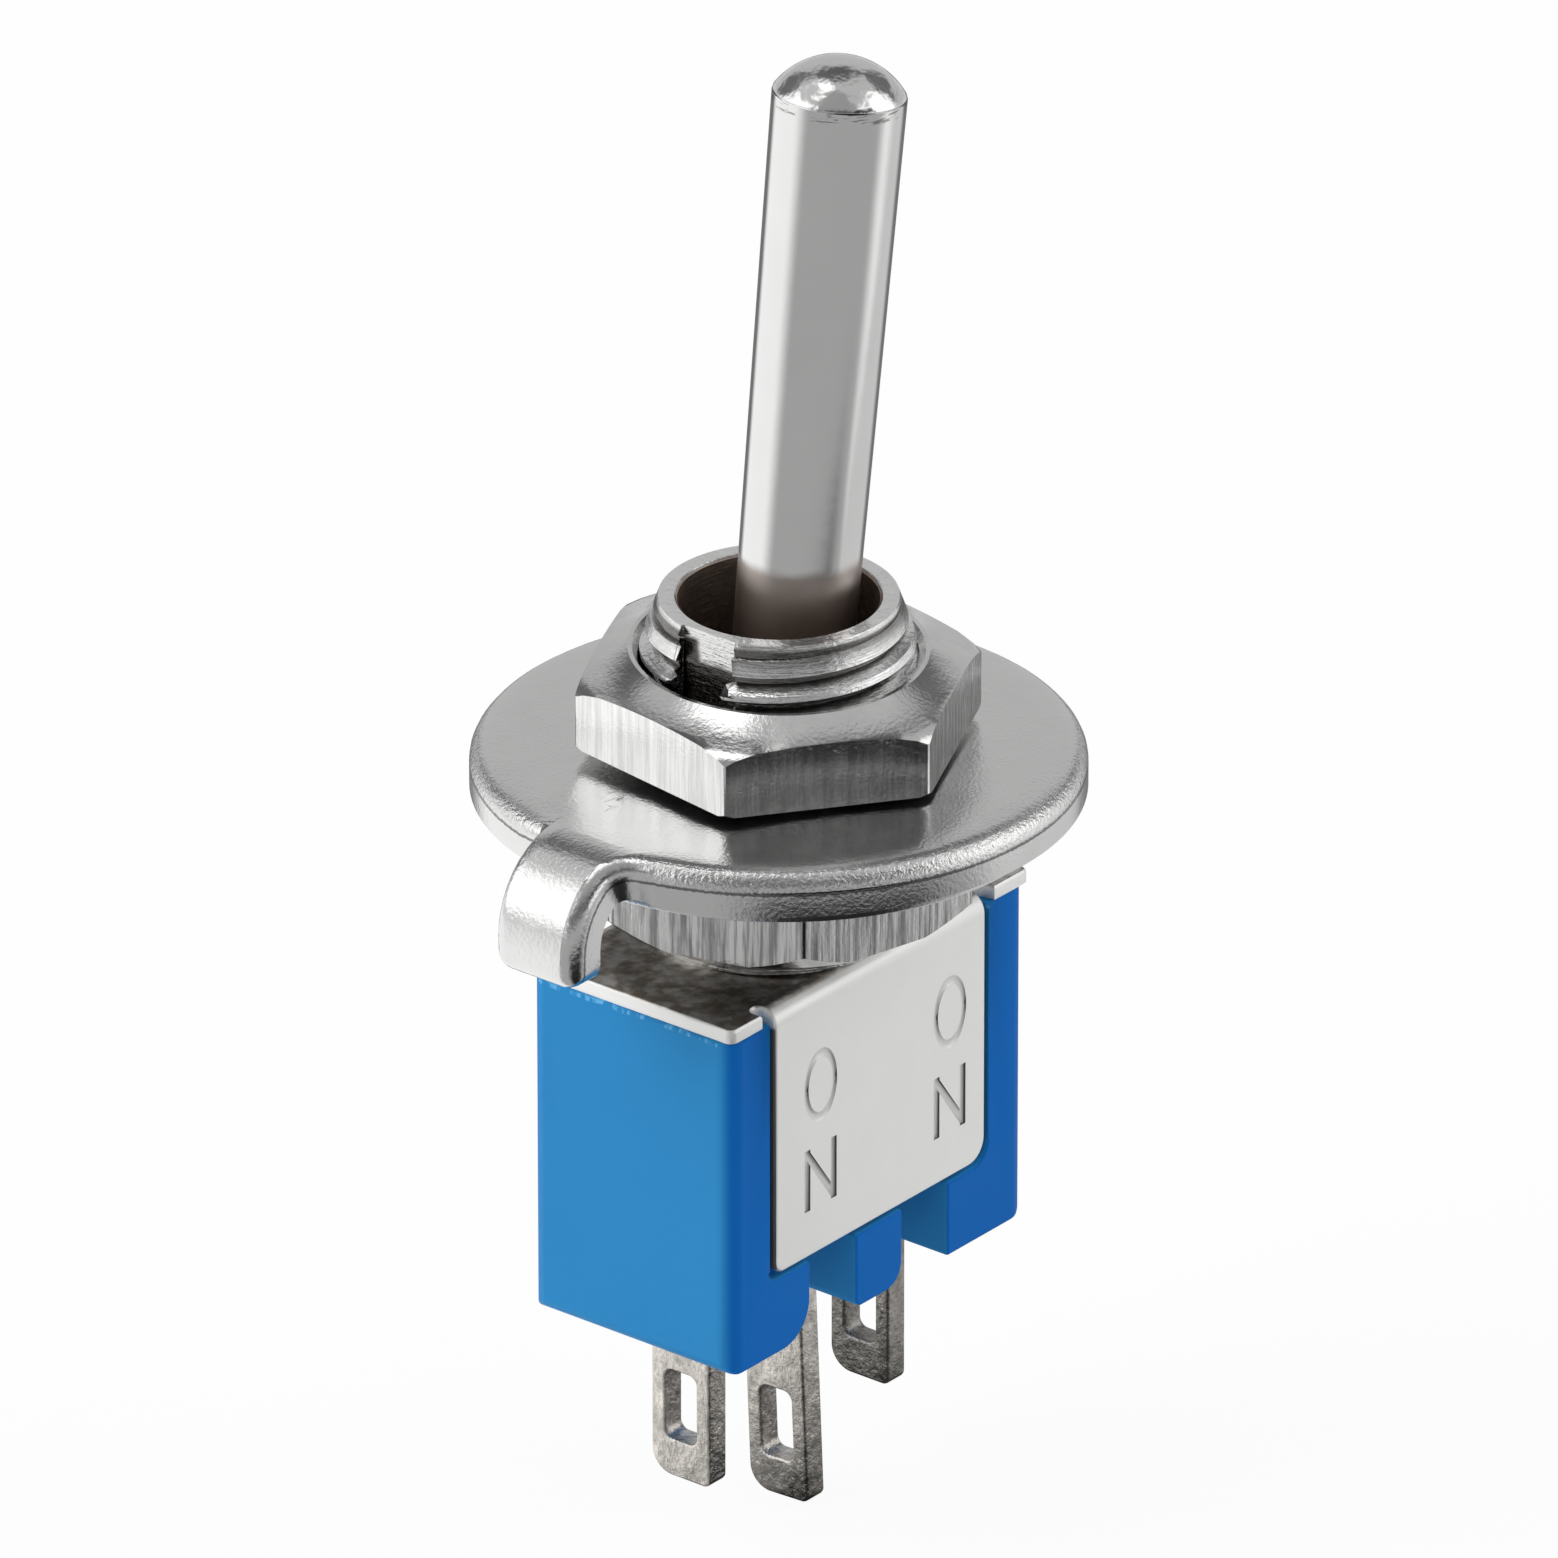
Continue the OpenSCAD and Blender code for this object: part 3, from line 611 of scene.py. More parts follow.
def letter_n(x):
    w, h = N_SIZE
    y = -FLAP_FACE_Y - STROKE_OUT
    slant = rod((x - w, y, N_Z + h - N_STROKE_R), (x + w, y, N_Z - h + N_STROKE_R), N_STROKE_R)
    posts = [rod((post, y, N_Z - h), (post, y, N_Z + h), N_STROKE_R) for post in (x - w, x + w)]
    return [slant, *posts]


frame_blank, blank_rim = blank(frame_half(-1) + frame_half(1), FRAME_TOP - SHEET_T, SHEET_T)
round_rim(frame_blank, blank_rim, FRAME_EDGE, 3)
for way in (-1, 1):
    fold(
        frame_blank, (0, way, 0), FLAP_FACE_Y - SHEET_T - FRAME_BEND_R, FRAME_TOP - SHEET_T,
        FRAME_BEND_R, SHEET_T, (-FLAP_HALF - RELIEF_R, FLAP_HALF + RELIEF_R),
    )
for stroke in [s for x in LETTER_X for s in letter_o(x) + letter_n(x)]:
    frame_blank = combine(frame_blank, stroke, "DIFFERENCE")
frame_blank = combine(
    frame_blank, rod((0, 0, FRAME_TOP - 1), (0, 0, FRAME_TOP + 1), FOOT_R, 64), "DIFFERENCE"
)
bmesh.ops.dissolve_limit(
    frame_blank, angle_limit=radians(0.3), verts=frame_blank.verts, edges=frame_blank.edges
)

SHEET_NICKEL = (0.85, 0.85, 0.835)
PLATE_SHADE_BROWN = (0.27, 0.235, 0.2, 1)
SHEET_SHADE = (0.05, 0.045, 0.04, 1)
PLATE_FACING = (0.7, 0.95)
BLOTS = (0.35, 0.62)
END_FACING = (0.5, 0.8)
END_HEIGHT = (-3.1, -3.0)
STROKE_DEPTH = (-FLAP_FACE_Y + 0.06, 0.05, 0.005)
STROKE_HEIGHT = ((O_Z + N_Z) / 2, 1.55, 0.02)
STROKE_REACH = (0, 2.5, 0.02)
frame_sheet = Finish("frame_sheet", SHEET_NICKEL, Metallic=0.7, Roughness=0.4)
sheet_cloud = frame_sheet.grain(1.2)
sheet_grain = frame_sheet.grain(30, 2)
sheet_blot = frame_sheet.grain(3.5, 4)
# The plate's upper faces brown in blots: partly mottled tarnish, partly painted shade under the nut and
# washer.
plate_mask = frame_sheet.step(frame_sheet.part(frame_sheet.facing, 2), *PLATE_FACING)
sheet_x, sheet_y, sheet_z = (frame_sheet.part(frame_sheet.place, axis) for axis in range(3))
# Painted shade: the flaps' cut ends, facing along X, go nearly black as in the gap by the case; the
# letters a little darker.
cut_end = frame_sheet.step(abs(frame_sheet.part(frame_sheet.facing, 0)), *END_FACING)
cut_end = cut_end * frame_sheet.step(sheet_z, *END_HEIGHT, 1, 0)
stroke = frame_sheet.bump(sheet_y, *STROKE_DEPTH) * frame_sheet.bump(sheet_z, *STROKE_HEIGHT)
stroke = stroke * frame_sheet.bump(sheet_x, *STROKE_REACH)
painted_shade = frame_sheet.sum("MAXIMUM", 0.9 * cut_end, 0.2 * stroke)
frame_sheet.feed(
    Base_Color=frame_sheet.mix(
        frame_sheet.mix(
            frame_sheet.shade(0.97 + 0.06 * sheet_cloud), PLATE_SHADE_BROWN,
            plate_mask * frame_sheet.step(sheet_blot, *BLOTS, 0.5, 1),
        ),
        SHEET_SHADE, painted_shade,
    ),
    Metallic=0.62 + 0.38 * plate_mask,
    Roughness=0.36 + 0.1 * sheet_cloud - 0.06 * plate_mask,
    Normal=frame_sheet.relief(
        sheet_grain, 0.0015, frame_sheet.relief(sheet_cloud * 0.2 + sheet_blot * plate_mask, 0.03)
    ),
)
finish_piece("folded_frame", frame_blank, frame_sheet, stands_for=["frame"], crease=30)


# Bushing. Turned brass with bright nickel, threaded outside, with a keyway milled down one side and a
# foot riveted over under the frame. The thread's ends are ragged where the cutter broke out of them.
THREAD_R = 2.45
THREAD_DEPTH = 0.3
PITCH = 0.48
THREAD_POINTS = 10
BORE_R = 1.785
BUSHING_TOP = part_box("bushing")[1].z / MM
BUSHING_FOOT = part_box("bushing")[0].z / MM
BORE_FLOOR = -2.27
FOOT_BORE_R = 1.35
FOOT_LIP_R = 1.74
RIM_R = 2.12
RIM_BEVEL = 0.9
KEYWAY_W = 1.18
KEYWAY_Y = -0.06
KEYWAY_FLOOR = 1.995
KEYWAY_LOW = -1.95
PIVOT_Z = -0.62
PIN_R = 0.35


def revolve(points, steps=96):
    """A closed outline of (radius, height) points, turned once about Z."""
    bm = bmesh.new()
    ring = [bm.verts.new((r, 0, z)) for r, z in points]
    edges = [bm.edges.new(pair) for pair in zip(ring, ring[1:] + ring[:1])]
    bmesh.ops.spin(bm, geom=ring + edges, axis=(0, 0, 1), angle=2 * pi, steps=steps, use_merge=True)
    bmesh.ops.remove_doubles(bm, verts=bm.verts, dist=1e-5)
    bmesh.ops.dissolve_degenerate(bm, edges=bm.edges, dist=1e-5)
    bmesh.ops.recalc_face_normals(bm, faces=bm.faces)
    return bm


def threaded_bar(crest_r, root_r, low, high, steps=72):
    """A threaded bar, with crests and roots at the same heights for every bar of this pitch."""
    bm = bmesh.new()
    first = floor((low / PITCH - 2) * THREAD_POINTS)
    last = ceil((high / PITCH + 1) * THREAD_POINTS)
    line = []
    for k in range(first, last + 1):
        slope = abs(2 * k / THREAD_POINTS - 2 * round(k / THREAD_POINTS))
        crest = min(1, max(0, (0.8 - slope) / 0.6))
        line.append(bm.verts.new((root_r + (crest_r - root_r) * crest, 0, PITCH * k / THREAD_POINTS)))
    edges = [bm.edges.new(pair) for pair in zip(line, line[1:])]
    bmesh.ops.spin(
        bm, geom=line + edges, axis=(0, 0, 1), dvec=(0, 0, PITCH / steps), angle=2 * pi, steps=steps
    )
    bmesh.ops.remove_doubles(bm, verts=bm.verts, dist=1e-5)
    for height, way in ((low, -1), (high, 1)):
        bmesh.ops.bisect_plane(
            bm, geom=[*bm.verts, *bm.edges, *bm.faces], dist=1e-6,
            plane_co=(0, 0, height), plane_no=(0, 0, way), clear_outer=True,
        )
        open_edges = [e for e in bm.edges if e.is_boundary and abs(e.verts[0].co.z - height) < 1e-4]
        bmesh.ops.edgeloop_fill(bm, edges=open_edges)
    bmesh.ops.recalc_face_normals(bm, faces=bm.faces)
    return bm


def box(low, high):
    bm = bmesh.new()
    bmesh.ops.create_cube(bm, size=1)
    low, high = Vector(low), Vector(high)
    bmesh.ops.scale(bm, vec=high - low, verts=bm.verts)
    bmesh.ops.translate(bm, vec=(low + high) / 2, verts=bm.verts)
    return bm


STOCK = 0.15
BUSHING_EDGE = 0.05
FOOT_CLEARANCE = 0.01
rim_slope = RIM_BEVEL / (THREAD_R - RIM_R)
bushing_body = revolve([
    (BORE_R + BUSHING_EDGE, BUSHING_TOP),
    (RIM_R, BUSHING_TOP),
    (THREAD_R + STOCK, BUSHING_TOP - (THREAD_R + STOCK - RIM_R) * rim_slope),
    (THREAD_R + STOCK, FRAME_TOP),
    (FOOT_R - FOOT_CLEARANCE, FRAME_TOP),
    (FOOT_R - FOOT_CLEARANCE, FRAME_TOP - SHEET_T),
    (FOOT_LIP_R, FRAME_TOP - SHEET_T),
    (FOOT_LIP_R, BUSHING_FOOT),
    (FOOT_BORE_R, BUSHING_FOOT),
    (FOOT_BORE_R, BORE_FLOOR),
    (BORE_R, BORE_FLOOR),
    (BORE_R, BUSHING_TOP - BUSHING_EDGE),
])
bushing_body = combine(
    bushing_body,
    threaded_bar(THREAD_R, THREAD_R - THREAD_DEPTH, BUSHING_FOOT - 0.5, BUSHING_TOP + 0.5),
    "INTERSECT",
)
keyway = box(
    (-2 * THREAD_R, KEYWAY_Y - KEYWAY_W / 2, KEYWAY_LOW),
    (-KEYWAY_FLOOR, KEYWAY_Y + KEYWAY_W / 2, BUSHING_TOP + 1),
)
pin_hole = rod((0, -2 * THREAD_R, PIVOT_Z), (0, 2 * THREAD_R, PIVOT_Z), PIN_R, 32)
bushing_body = combine(bushing_body, joined(keyway, pin_hole), "DIFFERENCE")

BURR = 0.12
BURR_FROM_X = -KEYWAY_FLOOR - 0.06
BURR_TOP = BUSHING_TOP - 0.05
chance = random.Random(7)
for v in bushing_body.verts:
    at_edge = abs(abs(v.co.y - KEYWAY_Y) - KEYWAY_W / 2) < 1e-3
    if at_edge and v.co.x < BURR_FROM_X and 0 < v.co.z < BURR_TOP:
        v.co.y += chance.uniform(-BURR, BURR)

BRIGHT_NICKEL = (0.70, 0.70, 0.695)
BORE_BROWN = (0.72, 0.62, 0.55, 1)
SHADE_BLACK = (0.035, 0.028, 0.024, 1)
BORE_WALL = (BORE_R + 0.01, BORE_R + 0.03)
RIM_LINE = (BUSHING_TOP - 0.12, BUSHING_TOP - 0.04)
ROOT_DEPTH = (THREAD_R - 0.28, THREAD_R - 0.16)
ON_WALL = (0.004, 0.004)
WAY_MOUTH_X = (-2.03, -2.01)
WAY_CORNER_Y = (0.58, 0.57)
WAY_FLOOR_SHADE_HEIGHT = (3.0, 3.12)
SIDE_SHADE_Y = (0.2, 0.36)
SIDE_SHADE_HEIGHT = (3.35, 3.45)
turned_plate = Finish("bushing_plate", BRIGHT_NICKEL, Metallic=1.0, Roughness=0.2)
turned_cloud = turned_plate.grain(2.5)
turned_lines = turned_plate.grain(3, 3, (0.3, 0.3, 9))
bore_x, bore_y, bore_z = (turned_plate.part(turned_plate.place, axis) for axis in range(3))
radius = turned_plate.sum("SQRT", bore_x * bore_x + bore_y * bore_y)
bore_mask = turned_plate.step(radius, *BORE_WALL, 1, 0)
below_rim = turned_plate.step(bore_z, *RIM_LINE, 1, 0)
# Painted shade: thread roots below the rim, the keyway's side walls, and its floor low down and towards
# +Y go nearly black.
root = turned_plate.step(radius, *ROOT_DEPTH, 1, 0) * (1 - bore_mask) * below_rim
across = abs(bore_y - KEYWAY_Y)
way_side = turned_plate.bump(across, KEYWAY_W / 2, *ON_WALL)
way_side = way_side * turned_plate.step(bore_x, *WAY_MOUTH_X, 1, 0)
way_floor = turned_plate.bump(bore_x, -KEYWAY_FLOOR, *ON_WALL)
way_floor = way_floor * turned_plate.step(across, *WAY_CORNER_Y)
side_shade = turned_plate.step(bore_y + 0.2 * turned_cloud, *SIDE_SHADE_Y)
side_shade = side_shade * turned_plate.step(bore_z, *SIDE_SHADE_HEIGHT, 1, 0)
way_low = way_floor * turned_plate.sum(
    "MAXIMUM", turned_plate.step(bore_z + 0.12 * turned_cloud, *WAY_FLOOR_SHADE_HEIGHT, 1, 0), side_shade
)
torn = turned_plate.grain(7, 3, (1, 1, 1.6), 0.6)
painted_shade = turned_plate.sum("MINIMUM", 0.75 * root * (1 - way_floor) + way_side + 0.9 * way_low, 1.0)
turned_plate.feed(
    Base_Color=turned_plate.mix(
        turned_plate.mix(turned_plate.shade(0.94 + 0.22 * turned_cloud), BORE_BROWN, bore_mask),
        SHADE_BLACK, painted_shade,
    ),
    Roughness=0.13 + 0.14 * turned_cloud + 0.2 * bore_mask,
    Normal=turned_plate.relief(
        torn * (1 - bore_mask), 0.016,
        turned_plate.relief(turned_lines, 0.012, turned_plate.relief(turned_cloud, 0.012)),
    ),
)
finish_piece(
    "threaded_bushing", bushing_body, turned_plate, stands_for=["bushing"], crease=32
)


# Panel nuts. Two hexagon nuts cut from drawn bar, nickel plated and screwed on the bushing. Their flats
# keep the upright lines of the drawing die, and a crowned bevel runs round the upper corners.
NUT_AF = 6.41
NUT_SINK_R = 2.58
NUT_EDGE = 0.05
NUT_CROWN = [(2.66, 0), (3.2, 0.3), (3.44, 0.36), (3.6, 0.45), (3.72, 0.57)]
NUT_CLEARANCE = 0.02
FLAT_FACING = (0.7, 0.95)
DRAWN_STREAKS = (0.35, 0.62)
LOW_FLAT_SHADE_HEIGHT = (0, 0.5)

drawn_plate = Finish("nut_plate", BRIGHT_NICKEL, Metallic=1.0, Roughness=0.25)
upright = 1 - abs(drawn_plate.part(drawn_plate.facing, 2))
flat_mask = drawn_plate.step(upright, *FLAT_FACING)
drawn_lines = drawn_plate.grain(9, 4, (1, 1, 0.05), 0.65)
drawn_streaks = drawn_plate.step(drawn_lines, *DRAWN_STREAKS)
nut_cloud = drawn_plate.grain(1.6)
nut_pits = drawn_plate.grain(14, 2)
# Painted shade: between the drawn streaks the flats are darkened, far more below the seat, under the
# washer, than above.
low_flat_shade = drawn_plate.step(drawn_plate.part(drawn_plate.place, 2), *LOW_FLAT_SHADE_HEIGHT, 0.7, 0.24)
drawn_plate.feed(
    Base_Color=drawn_plate.shade(
        0.74 + 0.36 * nut_cloud + flat_mask * (0.32 - 0.16 * nut_cloud - low_flat_shade * (1 - drawn_streaks))
    ),
    Roughness=0.09 + 0.12 * nut_cloud,
    Normal=drawn_plate.relief(
        drawn_lines * flat_mask, 0.01, drawn_plate.relief(nut_pits + 2 * nut_cloud, 0.004)
    ),
)


def panel_nut(name, node, turn, foot=0.08, lower=0.0, lift=0.0, lean=(0.0, 0.0)):
    """A nut with a corner at turn degrees from X. Foot is the bevel round its lower corners, lower
    makes it taller downwards and lift moves it up. Lean is how much it stands skew on its thread,
    in millimetres for each millimetre of X and Y."""
    low, high = (corner.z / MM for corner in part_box(node))
    low -= lower
    height = high - low
    corner_r = NUT_AF / 2 / cos(pi / 6)
    inner = THREAD_R - THREAD_DEPTH
    sink = NUT_SINK_R - inner
    hexagon = bmesh.new()
    bmesh.ops.create_cone(
        hexagon, cap_ends=True, segments=6, radius1=corner_r, radius2=corner_r, depth=2 * height
    )
    upright_edges = [e for e in hexagon.edges if abs(e.verts[0].co.z - e.verts[1].co.z) > height]
    round_rim(hexagon, upright_edges, NUT_EDGE, 3)
    bmesh.ops.rotate(
        hexagon, matrix=Matrix.Rotation(radians(turn - 90), 3, "Z"), verts=hexagon.verts
    )
    bmesh.ops.translate(hexagon, vec=(0, 0, (low + high) / 2), verts=hexagon.verts)
    cone = revolve([
        (NUT_SINK_R, low),
        (corner_r - foot, low),
        (corner_r + 0.02, low + foot),
        *((r, high - drop) for r, drop in reversed(NUT_CROWN)),
        (NUT_SINK_R, high),
        (inner, high - sink),
        (inner, low + sink),
    ])
    bm = combine(cone, hexagon, "INTERSECT")
    bm = combine(
        bm,
        threaded_bar(
            THREAD_R + NUT_CLEARANCE, THREAD_R - THREAD_DEPTH + 2 * NUT_CLEARANCE, low - 1, high + 1
        ),
        "DIFFERENCE",
    )
    for v in bm.verts:
        v.co.z += lift + lean[0] * v.co.x + lean[1] * v.co.y
    finish_piece(name, bm, drawn_plate, stands_for=[node], crease=20)


panel_nut("upper_nut", "panel_nut_upper", 24, lift=0.08, lean=(0.01, 0.03))
panel_nut("lower_nut", "panel_nut_lower", 45.5, foot=0.4, lower=0.14)


# Locating washer. Stamped from thick sheet, so its upper edge is rolled and its lower edge cut, then
# dished to the hole and folded down into a tab that sits in a hole in the panel.
WASHER_T = 0.75
WASHER_R = 5.44
WASHER_HOLE_R = 2.47
WASHER_DISH = 0.2
WASHER_ROLL = 0.3
WASHER_DISH_R = 5.05
WASHER_RINGS = 10
RIM_DROP = 0.08
RIM_DROP_R = 4.7
RIM_LIFT = 0.4
TAB_Y = (-0.78, 1.05)
TAB_BEND_X = 5.06
TAB_BEND_R = 0.87
TAB_LOW = -1.46
TAB_FILLET = 0.5
TAB_CORNER = 0.34
TAB_CALM = 0.95
TAB_CALM_FADE = 0.6
SLIT_W = 0.06
SLIT_START_X = -TAB_BEND_X - 0.12
SLIT_END_X = -TAB_BEND_X - 0.05
TOOTH_W = 1.04
TOOTH_R = 2.055

tab_straight = -TAB_BEND_R - TAB_LOW
tab_end = TAB_BEND_X + (TAB_BEND_R + WASHER_T / 2) * pi / 2 + tab_straight
fillet_y = TAB_Y[0] - TAB_FILLET
fillet_x = -sqrt((WASHER_R + TAB_FILLET) ** 2 - fillet_y ** 2)
fillet_turn = 180 - atan2(-fillet_y, -fillet_x) * DEGREES
slit_y = TAB_Y[1] + SLIT_W
slit_turn = 180 - atan2(slit_y, sqrt(WASHER_R ** 2 - slit_y ** 2)) * DEGREES
outline = arc(0, 0, WASHER_R, -fillet_turn, slit_turn, 120)
outline += [(SLIT_START_X, slit_y), (SLIT_END_X, slit_y - SLIT_W / 2), (SLIT_START_X, TAB_Y[1])]
outline += arc(-tab_end + TAB_CORNER, TAB_Y[1] - TAB_CORNER, TAB_CORNER, 90, 180, 5)
outline += arc(-tab_end + TAB_CORNER, TAB_Y[0] + TAB_CORNER, TAB_CORNER, 180, 270, 5)
outline += arc(fillet_x, fillet_y, TAB_FILLET, 90, -fillet_turn + 180, 8)[:-1]

washer_body = bmesh.new()
loop = [washer_body.verts.new((x, y, 0)) for x, y in outline]
rim = [washer_body.edges.new(pair) for pair in zip(loop, loop[1:] + loop[:1])]
for i in range(WASHER_RINGS + 1):
    ring_r = WASHER_DISH_R + (WASHER_HOLE_R - WASHER_DISH_R) * i / WASHER_RINGS
    grown = bmesh.ops.extrude_edge_only(washer_body, edges=rim)["geom"]
    for v in (g for g in grown if isinstance(g, bmesh.types.BMVert)):
        v.co *= ring_r / v.co.length
        if i == WASHER_RINGS and v.co.x < 0 and abs(v.co.y) < TOOTH_W / 2:
            v.co *= TOOTH_R / ring_r
    rim = [g for g in grown if isinstance(g, bmesh.types.BMEdge) and g.is_boundary]
underside = list(washer_body.faces)
raised = bmesh.ops.extrude_face_region(washer_body, geom=underside, use_keep_orig=True)["geom"]
washer_top = [g for g in raised if isinstance(g, bmesh.types.BMVert)]
bmesh.ops.translate(washer_body, vec=(0, 0, WASHER_T), verts=washer_top)
bmesh.ops.recalc_face_normals(washer_body, faces=washer_body.faces)
rolled = [
    e for e in washer_body.edges
    if all(v.co.z > WASHER_T / 2 and v.co.to_2d().length > WASHER_HOLE_R + 1 for v in e.verts)
    and abs(e.calc_face_angle()) > 1
    and not all(abs(v.co.y - TAB_Y[1]) < 2 * SLIT_W and -WASHER_R < v.co.x < 0 for v in e.verts)
]
round_rim(washer_body, rolled, WASHER_ROLL, 5)
bmesh.ops.bisect_plane(
    washer_body, geom=[*washer_body.verts, *washer_body.edges, *washer_body.faces], dist=1e-5,
    plane_co=(-TAB_BEND_X, 0, 0), plane_no=(1, 0, 0),
)
sheet_depth = washer_body.verts.layers.float.new("sheet_depth")
for v in washer_body.verts:
    v[sheet_depth] = v.co.z
    r = v.co.to_2d().length
    if r < WASHER_DISH_R:
        v.co.z += WASHER_DISH * ((WASHER_DISH_R - r) / (WASHER_DISH_R - WASHER_HOLE_R)) ** 4
    off_tab = 1
    if v.co.x <= 0:
        off_tab = min(1, max(0, (abs(v.co.y - sum(TAB_Y) / 2) - TAB_CALM) / TAB_CALM_FADE))
    past = min(1, max(0, (r - RIM_DROP_R) / (WASHER_R - RIM_DROP_R)))
    v.co.z += RIM_DROP * (RIM_LIFT - past ** 2) * off_tab * min(1, r - WASHER_HOLE_R)
fold(
    washer_body, (-1, 0, 0), TAB_BEND_X, 0, TAB_BEND_R, WASHER_T, (fillet_y, slit_y - SLIT_W / 2)
)

ROLL_CREASE_SHADE = (WASHER_T - WASHER_ROLL + 0.01, 0.012, 0.03)
ROLLED_EDGE = (WASHER_T - WASHER_ROLL / 2, WASHER_ROLL / 2 - 0.03, 0.03)
DISC_FROM_X = (-5.3, -5.1)
stamped_plate = Finish("washer_plate", BRIGHT_NICKEL, Metallic=1.0, Roughness=0.22)
stamp_cloud = stamped_plate.grain(1.1)
stamp_grain = stamped_plate.grain(14, 3)
depth = stamped_plate.node("ShaderNodeAttribute", {"attribute_name": "sheet_depth"}, output="Fac")
# Painted shade: a thin dark line where the rolled edge meets the cut land below it.
roll_crease_shade = stamped_plate.bump(depth + 0.06 * stamp_grain, *ROLL_CREASE_SHADE)
roll = stamped_plate.bump(depth, *ROLLED_EDGE)
on_disc = stamped_plate.step(stamped_plate.part(stamped_plate.place, 0), *DISC_FROM_X)
stamped_plate.feed(
    Base_Color=stamped_plate.shade(0.92 + 0.12 * stamp_cloud - 0.7 * roll_crease_shade),
    Roughness=0.15 + 0.12 * stamp_cloud + 0.06 * roll_crease_shade,
    Normal=stamped_plate.relief(
        stamp_grain * (0.3 + 0.7 * roll * on_disc), 0.024, stamped_plate.relief(stamp_cloud, 0.012)
    ),
)
finish_piece(
    "dished_washer", washer_body, stamped_plate, stands_for=["locating_washer"]
)


# Lock washer. A thin hardened ring with teeth inside, pressed between the locating washer and the
# lower nut. Its rim is sprung a little away from the locating washer on the side of the lever's lean.
SPRING_DOWN = 0.06
SPRING_TILT = 0.012
LOCK_EDGE = 0.03
lock_body = soft_copy("lock_washer", LOCK_EDGE)
for v in lock_body.verts:
    v.co.z -= (SPRING_DOWN + SPRING_TILT * v.co.x) * min(1, v.co.to_2d().length / WASHER_DISH_R)
finish_piece("toothed_washer", lock_body, stamped_plate, stands_for=["lock_washer"])


# Lever. Turned rod, nickel plated and polished, with a domed end that meets the shaft in a crisp line,
# a ball on the pivot pin, and a hollow barrel below it for the plunger.
LEVER_LENGTH = 14
LEVER_TIP_R = 1.19
LEVER_ROOT_R = 1.05
LEVER_LEAN = radians(7.3)
BALL_R = 1.5
BARREL_R = 0.9
BARREL_LOW = -2.75
PLUNGER_BORE_R = 0.605
BORE_ROOF = -0.8
DOME_R = 1.42
DOME_DROP = 0.004
DOME_TURN_IN = 0.02
LEVER_EDGE = 0.03
PIN_CLEARANCE = 0.025

neck_z = sqrt(BALL_R ** 2 - LEVER_ROOT_R ** 2)
barrel_z = -sqrt(BALL_R ** 2 - BARREL_R ** 2)
dome_z = LEVER_LENGTH - DOME_R - DOME_DROP
dome_turn = acos(LEVER_TIP_R / DOME_R)
shoulder_z = dome_z + DOME_R * sin(dome_turn)
ball_turns = (atan2(barrel_z, BARREL_R) * DEGREES, atan2(neck_z, LEVER_ROOT_R) * DEGREES)
lever_body = revolve([
    (0, BORE_ROOF),
    (PLUNGER_BORE_R, BORE_ROOF),
    (PLUNGER_BORE_R, BARREL_LOW),
    (BARREL_R - LEVER_EDGE, BARREL_LOW),
    (BARREL_R, BARREL_LOW + LEVER_EDGE),
    *arc(0, 0, BALL_R, *ball_turns, 16),
    (LEVER_TIP_R, shoulder_z - LEVER_EDGE),
    (LEVER_TIP_R - LEVER_EDGE / 4, shoulder_z - LEVER_EDGE / 4),
    *arc(0, dome_z, DOME_R, (dome_turn + DOME_TURN_IN) * DEGREES, 90, 16),
])
pin_bore = rod((0, -2 * BALL_R, 0), (0, 2 * BALL_R, 0), PIN_R + PIN_CLEARANCE, 32)
lever_body = combine(lever_body, pin_bore, "DIFFERENCE")
at_pivot = Matrix.Translation((0, 0, PIVOT_Z)) @ Matrix.Rotation(LEVER_LEAN, 4, "Y")
bmesh.ops.transform(lever_body, matrix=at_pivot, verts=lever_body.verts)

MOUTH_SHADE_BROWN = (0.42, 0.37, 0.34, 1)
MOUTH_SHADE_HEIGHT = (4.2, 4.45)
DOME_FROM = (shoulder_z - 0.02, shoulder_z + 0.02)
SCUFF_BAND = (shoulder_z - 0.1, 0.08, 0.04)
SCUFF_DASHES = (0.53, 0.6)
lever_plate = Finish("lever_plate", BRIGHT_NICKEL, Metallic=1.0, Roughness=0.1)
lever_cloud = lever_plate.grain(0.8)
lever_grain = lever_plate.grain(9, 2, (1, 1, 0.3))
lever_x, lever_z = (lever_plate.part(lever_plate.place, axis) for axis in (0, 2))
# Painted shade and reflection: low down, in the bushing's mouth, the lever turns a dull brownish grey
# and rougher.
mouth_shade = lever_plate.step(lever_z + 0.2 * lever_cloud, *MOUTH_SHADE_HEIGHT, 1, 0)
along = lever_x * sin(LEVER_LEAN) + (lever_z - PIVOT_Z) * cos(LEVER_LEAN)
on_dome = lever_plate.step(along, *DOME_FROM)
dome_cloud = lever_plate.grain(1.8, 3)
scuff = lever_plate.bump(along, *SCUFF_BAND)
scuff = scuff * lever_plate.step(lever_plate.grain(3, 3, (1, 1, 7)), *SCUFF_DASHES)
lever_plate.feed(
    Base_Color=lever_plate.mix(
        lever_plate.shade(0.95 + 0.08 * lever_cloud - 0.55 * scuff), MOUTH_SHADE_BROWN, mouth_shade
    ),
    Roughness=0.07 + 0.07 * lever_cloud + 0.25 * mouth_shade + 0.08 * on_dome,
    Normal=lever_plate.relief(
        dome_cloud * on_dome, 0.05,
        lever_plate.relief(lever_grain, 0.0006, lever_plate.relief(lever_cloud, 0.004)),
    ),
)
finish_piece("toggle_lever", lever_body, lever_plate, "lever", ["lever"], crease=25)
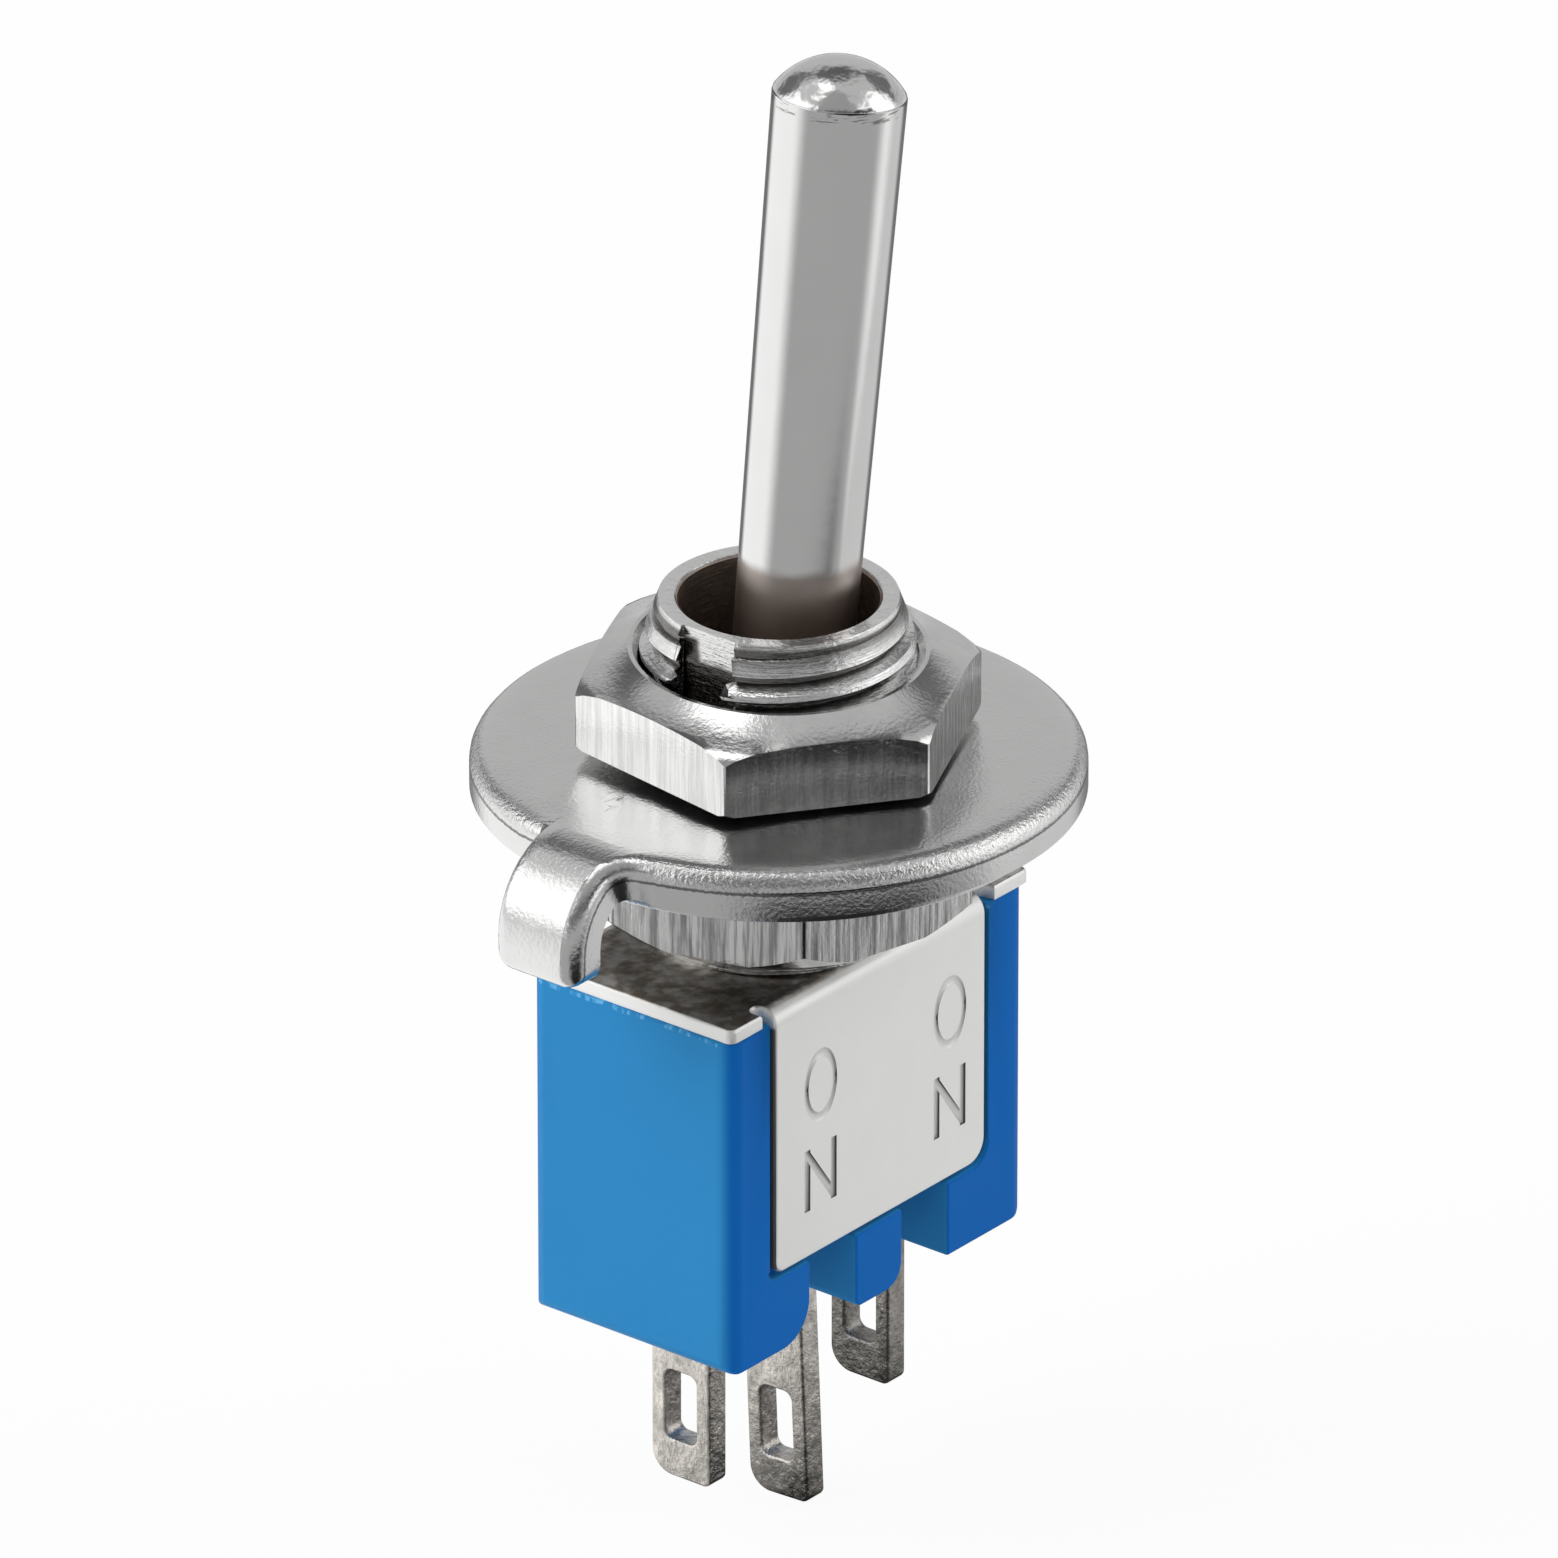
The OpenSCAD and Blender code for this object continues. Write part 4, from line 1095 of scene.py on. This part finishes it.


# Solder lugs. Three strips of tinned brass, sheared to shape, with punched eyelets and fixed in the
# case. The tin is pitted and mottled, and darkened towards +X as painted shade.
TIN = (0.5, 0.475, 0.44)
LUG_EDGE = 0.06
PLUS_X_SHADE = (0.6, 2)
lug_tin = Finish("lug_tin", TIN, Metallic=1.0, Roughness=0.35)
tin_cloud = lug_tin.grain(2.6, 4, rough=0.65)
tin_pits = lug_tin.grain(9, 4, rough=0.7)
tin_streaks = lug_tin.grain(6, 3, (1, 1, 0.2))
# Painted shade: the tin's colour is darkened towards +X, by up to a half.
plus_x_shade = lug_tin.step(lug_tin.part(lug_tin.place, 0), *PLUS_X_SHADE, 0, 0.5)
lug_tin.feed(
    Base_Color=lug_tin.shade((2.1 * tin_cloud * tin_cloud + 1.4 * tin_pits) * (1 - plus_x_shade)),
    Roughness=0.2 + 0.25 * tin_pits,
    Normal=lug_tin.relief(
        tin_pits, 0.02, lug_tin.relief(tin_cloud, 0.05, lug_tin.relief(tin_streaks, 0.01))
    ),
)
for side in ("left", "middle", "right"):
    finish_piece(
        f"solder_lug_{side}", soft_copy(f"terminal_{side}", LUG_EDGE, 3), lug_tin,
        stands_for=[f"terminal_{side}"],
    )


# Inner works. Pivot pin, plunger, rocker and contacts keep their solids, which nothing shows from
# outside, and get the finish of their own metal or plastic.
def inner_finish(name, colour, nodes, **constants):
    finish = Finish(name, colour, **constants)
    cloud = finish.grain(3)
    finish.feed(Base_Color=finish.shade(0.9 + 0.2 * cloud), Roughness=0.25 + 0.2 * cloud)
    for node in nodes:
        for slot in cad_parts[node].material_slots:
            slot.material = finish.material
    return finish


inner_finish("pin_steel", (0.6, 0.59, 0.57), ["pivot_pin"], Metallic=1.0)
inner_finish("plunger_plastic", (0.78, 0.75, 0.66), ["plunger"])
inner_finish("rocker_alloy", (0.72, 0.42, 0.2), ["rocker"], Metallic=1.0)
inner_finish(
    "contact_silver", (0.85, 0.84, 0.82),
    [f"{kind}_contact_{side}" for kind in ("rocker", "fixed") for side in ("left", "right")],
    Metallic=1.0,
)


# Plunger spring. Round steel wire, coiled between the roof of the lever's barrel and the bottom of the
# plunger's well.
WIRE_R = 0.055
COIL_R = 0.285
COIL_TURNS = 7
TURN_STEPS = 24
COIL_TOP = BORE_ROOF
COIL_LOW = -3.61

coil = bmesh.new()
section = bmesh.ops.create_circle(coil, segments=12, radius=WIRE_R)["verts"]
bmesh.ops.rotate(coil, matrix=Matrix.Rotation(pi / 2, 3, "X"), verts=section)
bmesh.ops.translate(coil, vec=(COIL_R, 0, COIL_LOW + WIRE_R), verts=section)
climb = (COIL_TOP - COIL_LOW - 2 * WIRE_R) / (COIL_TURNS * TURN_STEPS)
bmesh.ops.spin(
    coil, geom=[*coil.verts, *coil.edges], axis=(0, 0, 1), dvec=(0, 0, climb),
    angle=2 * pi * COIL_TURNS, steps=COIL_TURNS * TURN_STEPS,
)
bmesh.ops.holes_fill(coil, edges=[e for e in coil.edges if e.is_boundary])
bmesh.ops.recalc_face_normals(coil, faces=coil.faces)
bmesh.ops.transform(coil, matrix=at_pivot, verts=coil.verts)
coil_spring = finish_piece(
    "coil_spring", coil, inner_finish("spring_wire", (0.5, 0.49, 0.46), [], Metallic=1.0),
    body=None, stands_for=["plunger_spring"],
)
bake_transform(coil_spring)
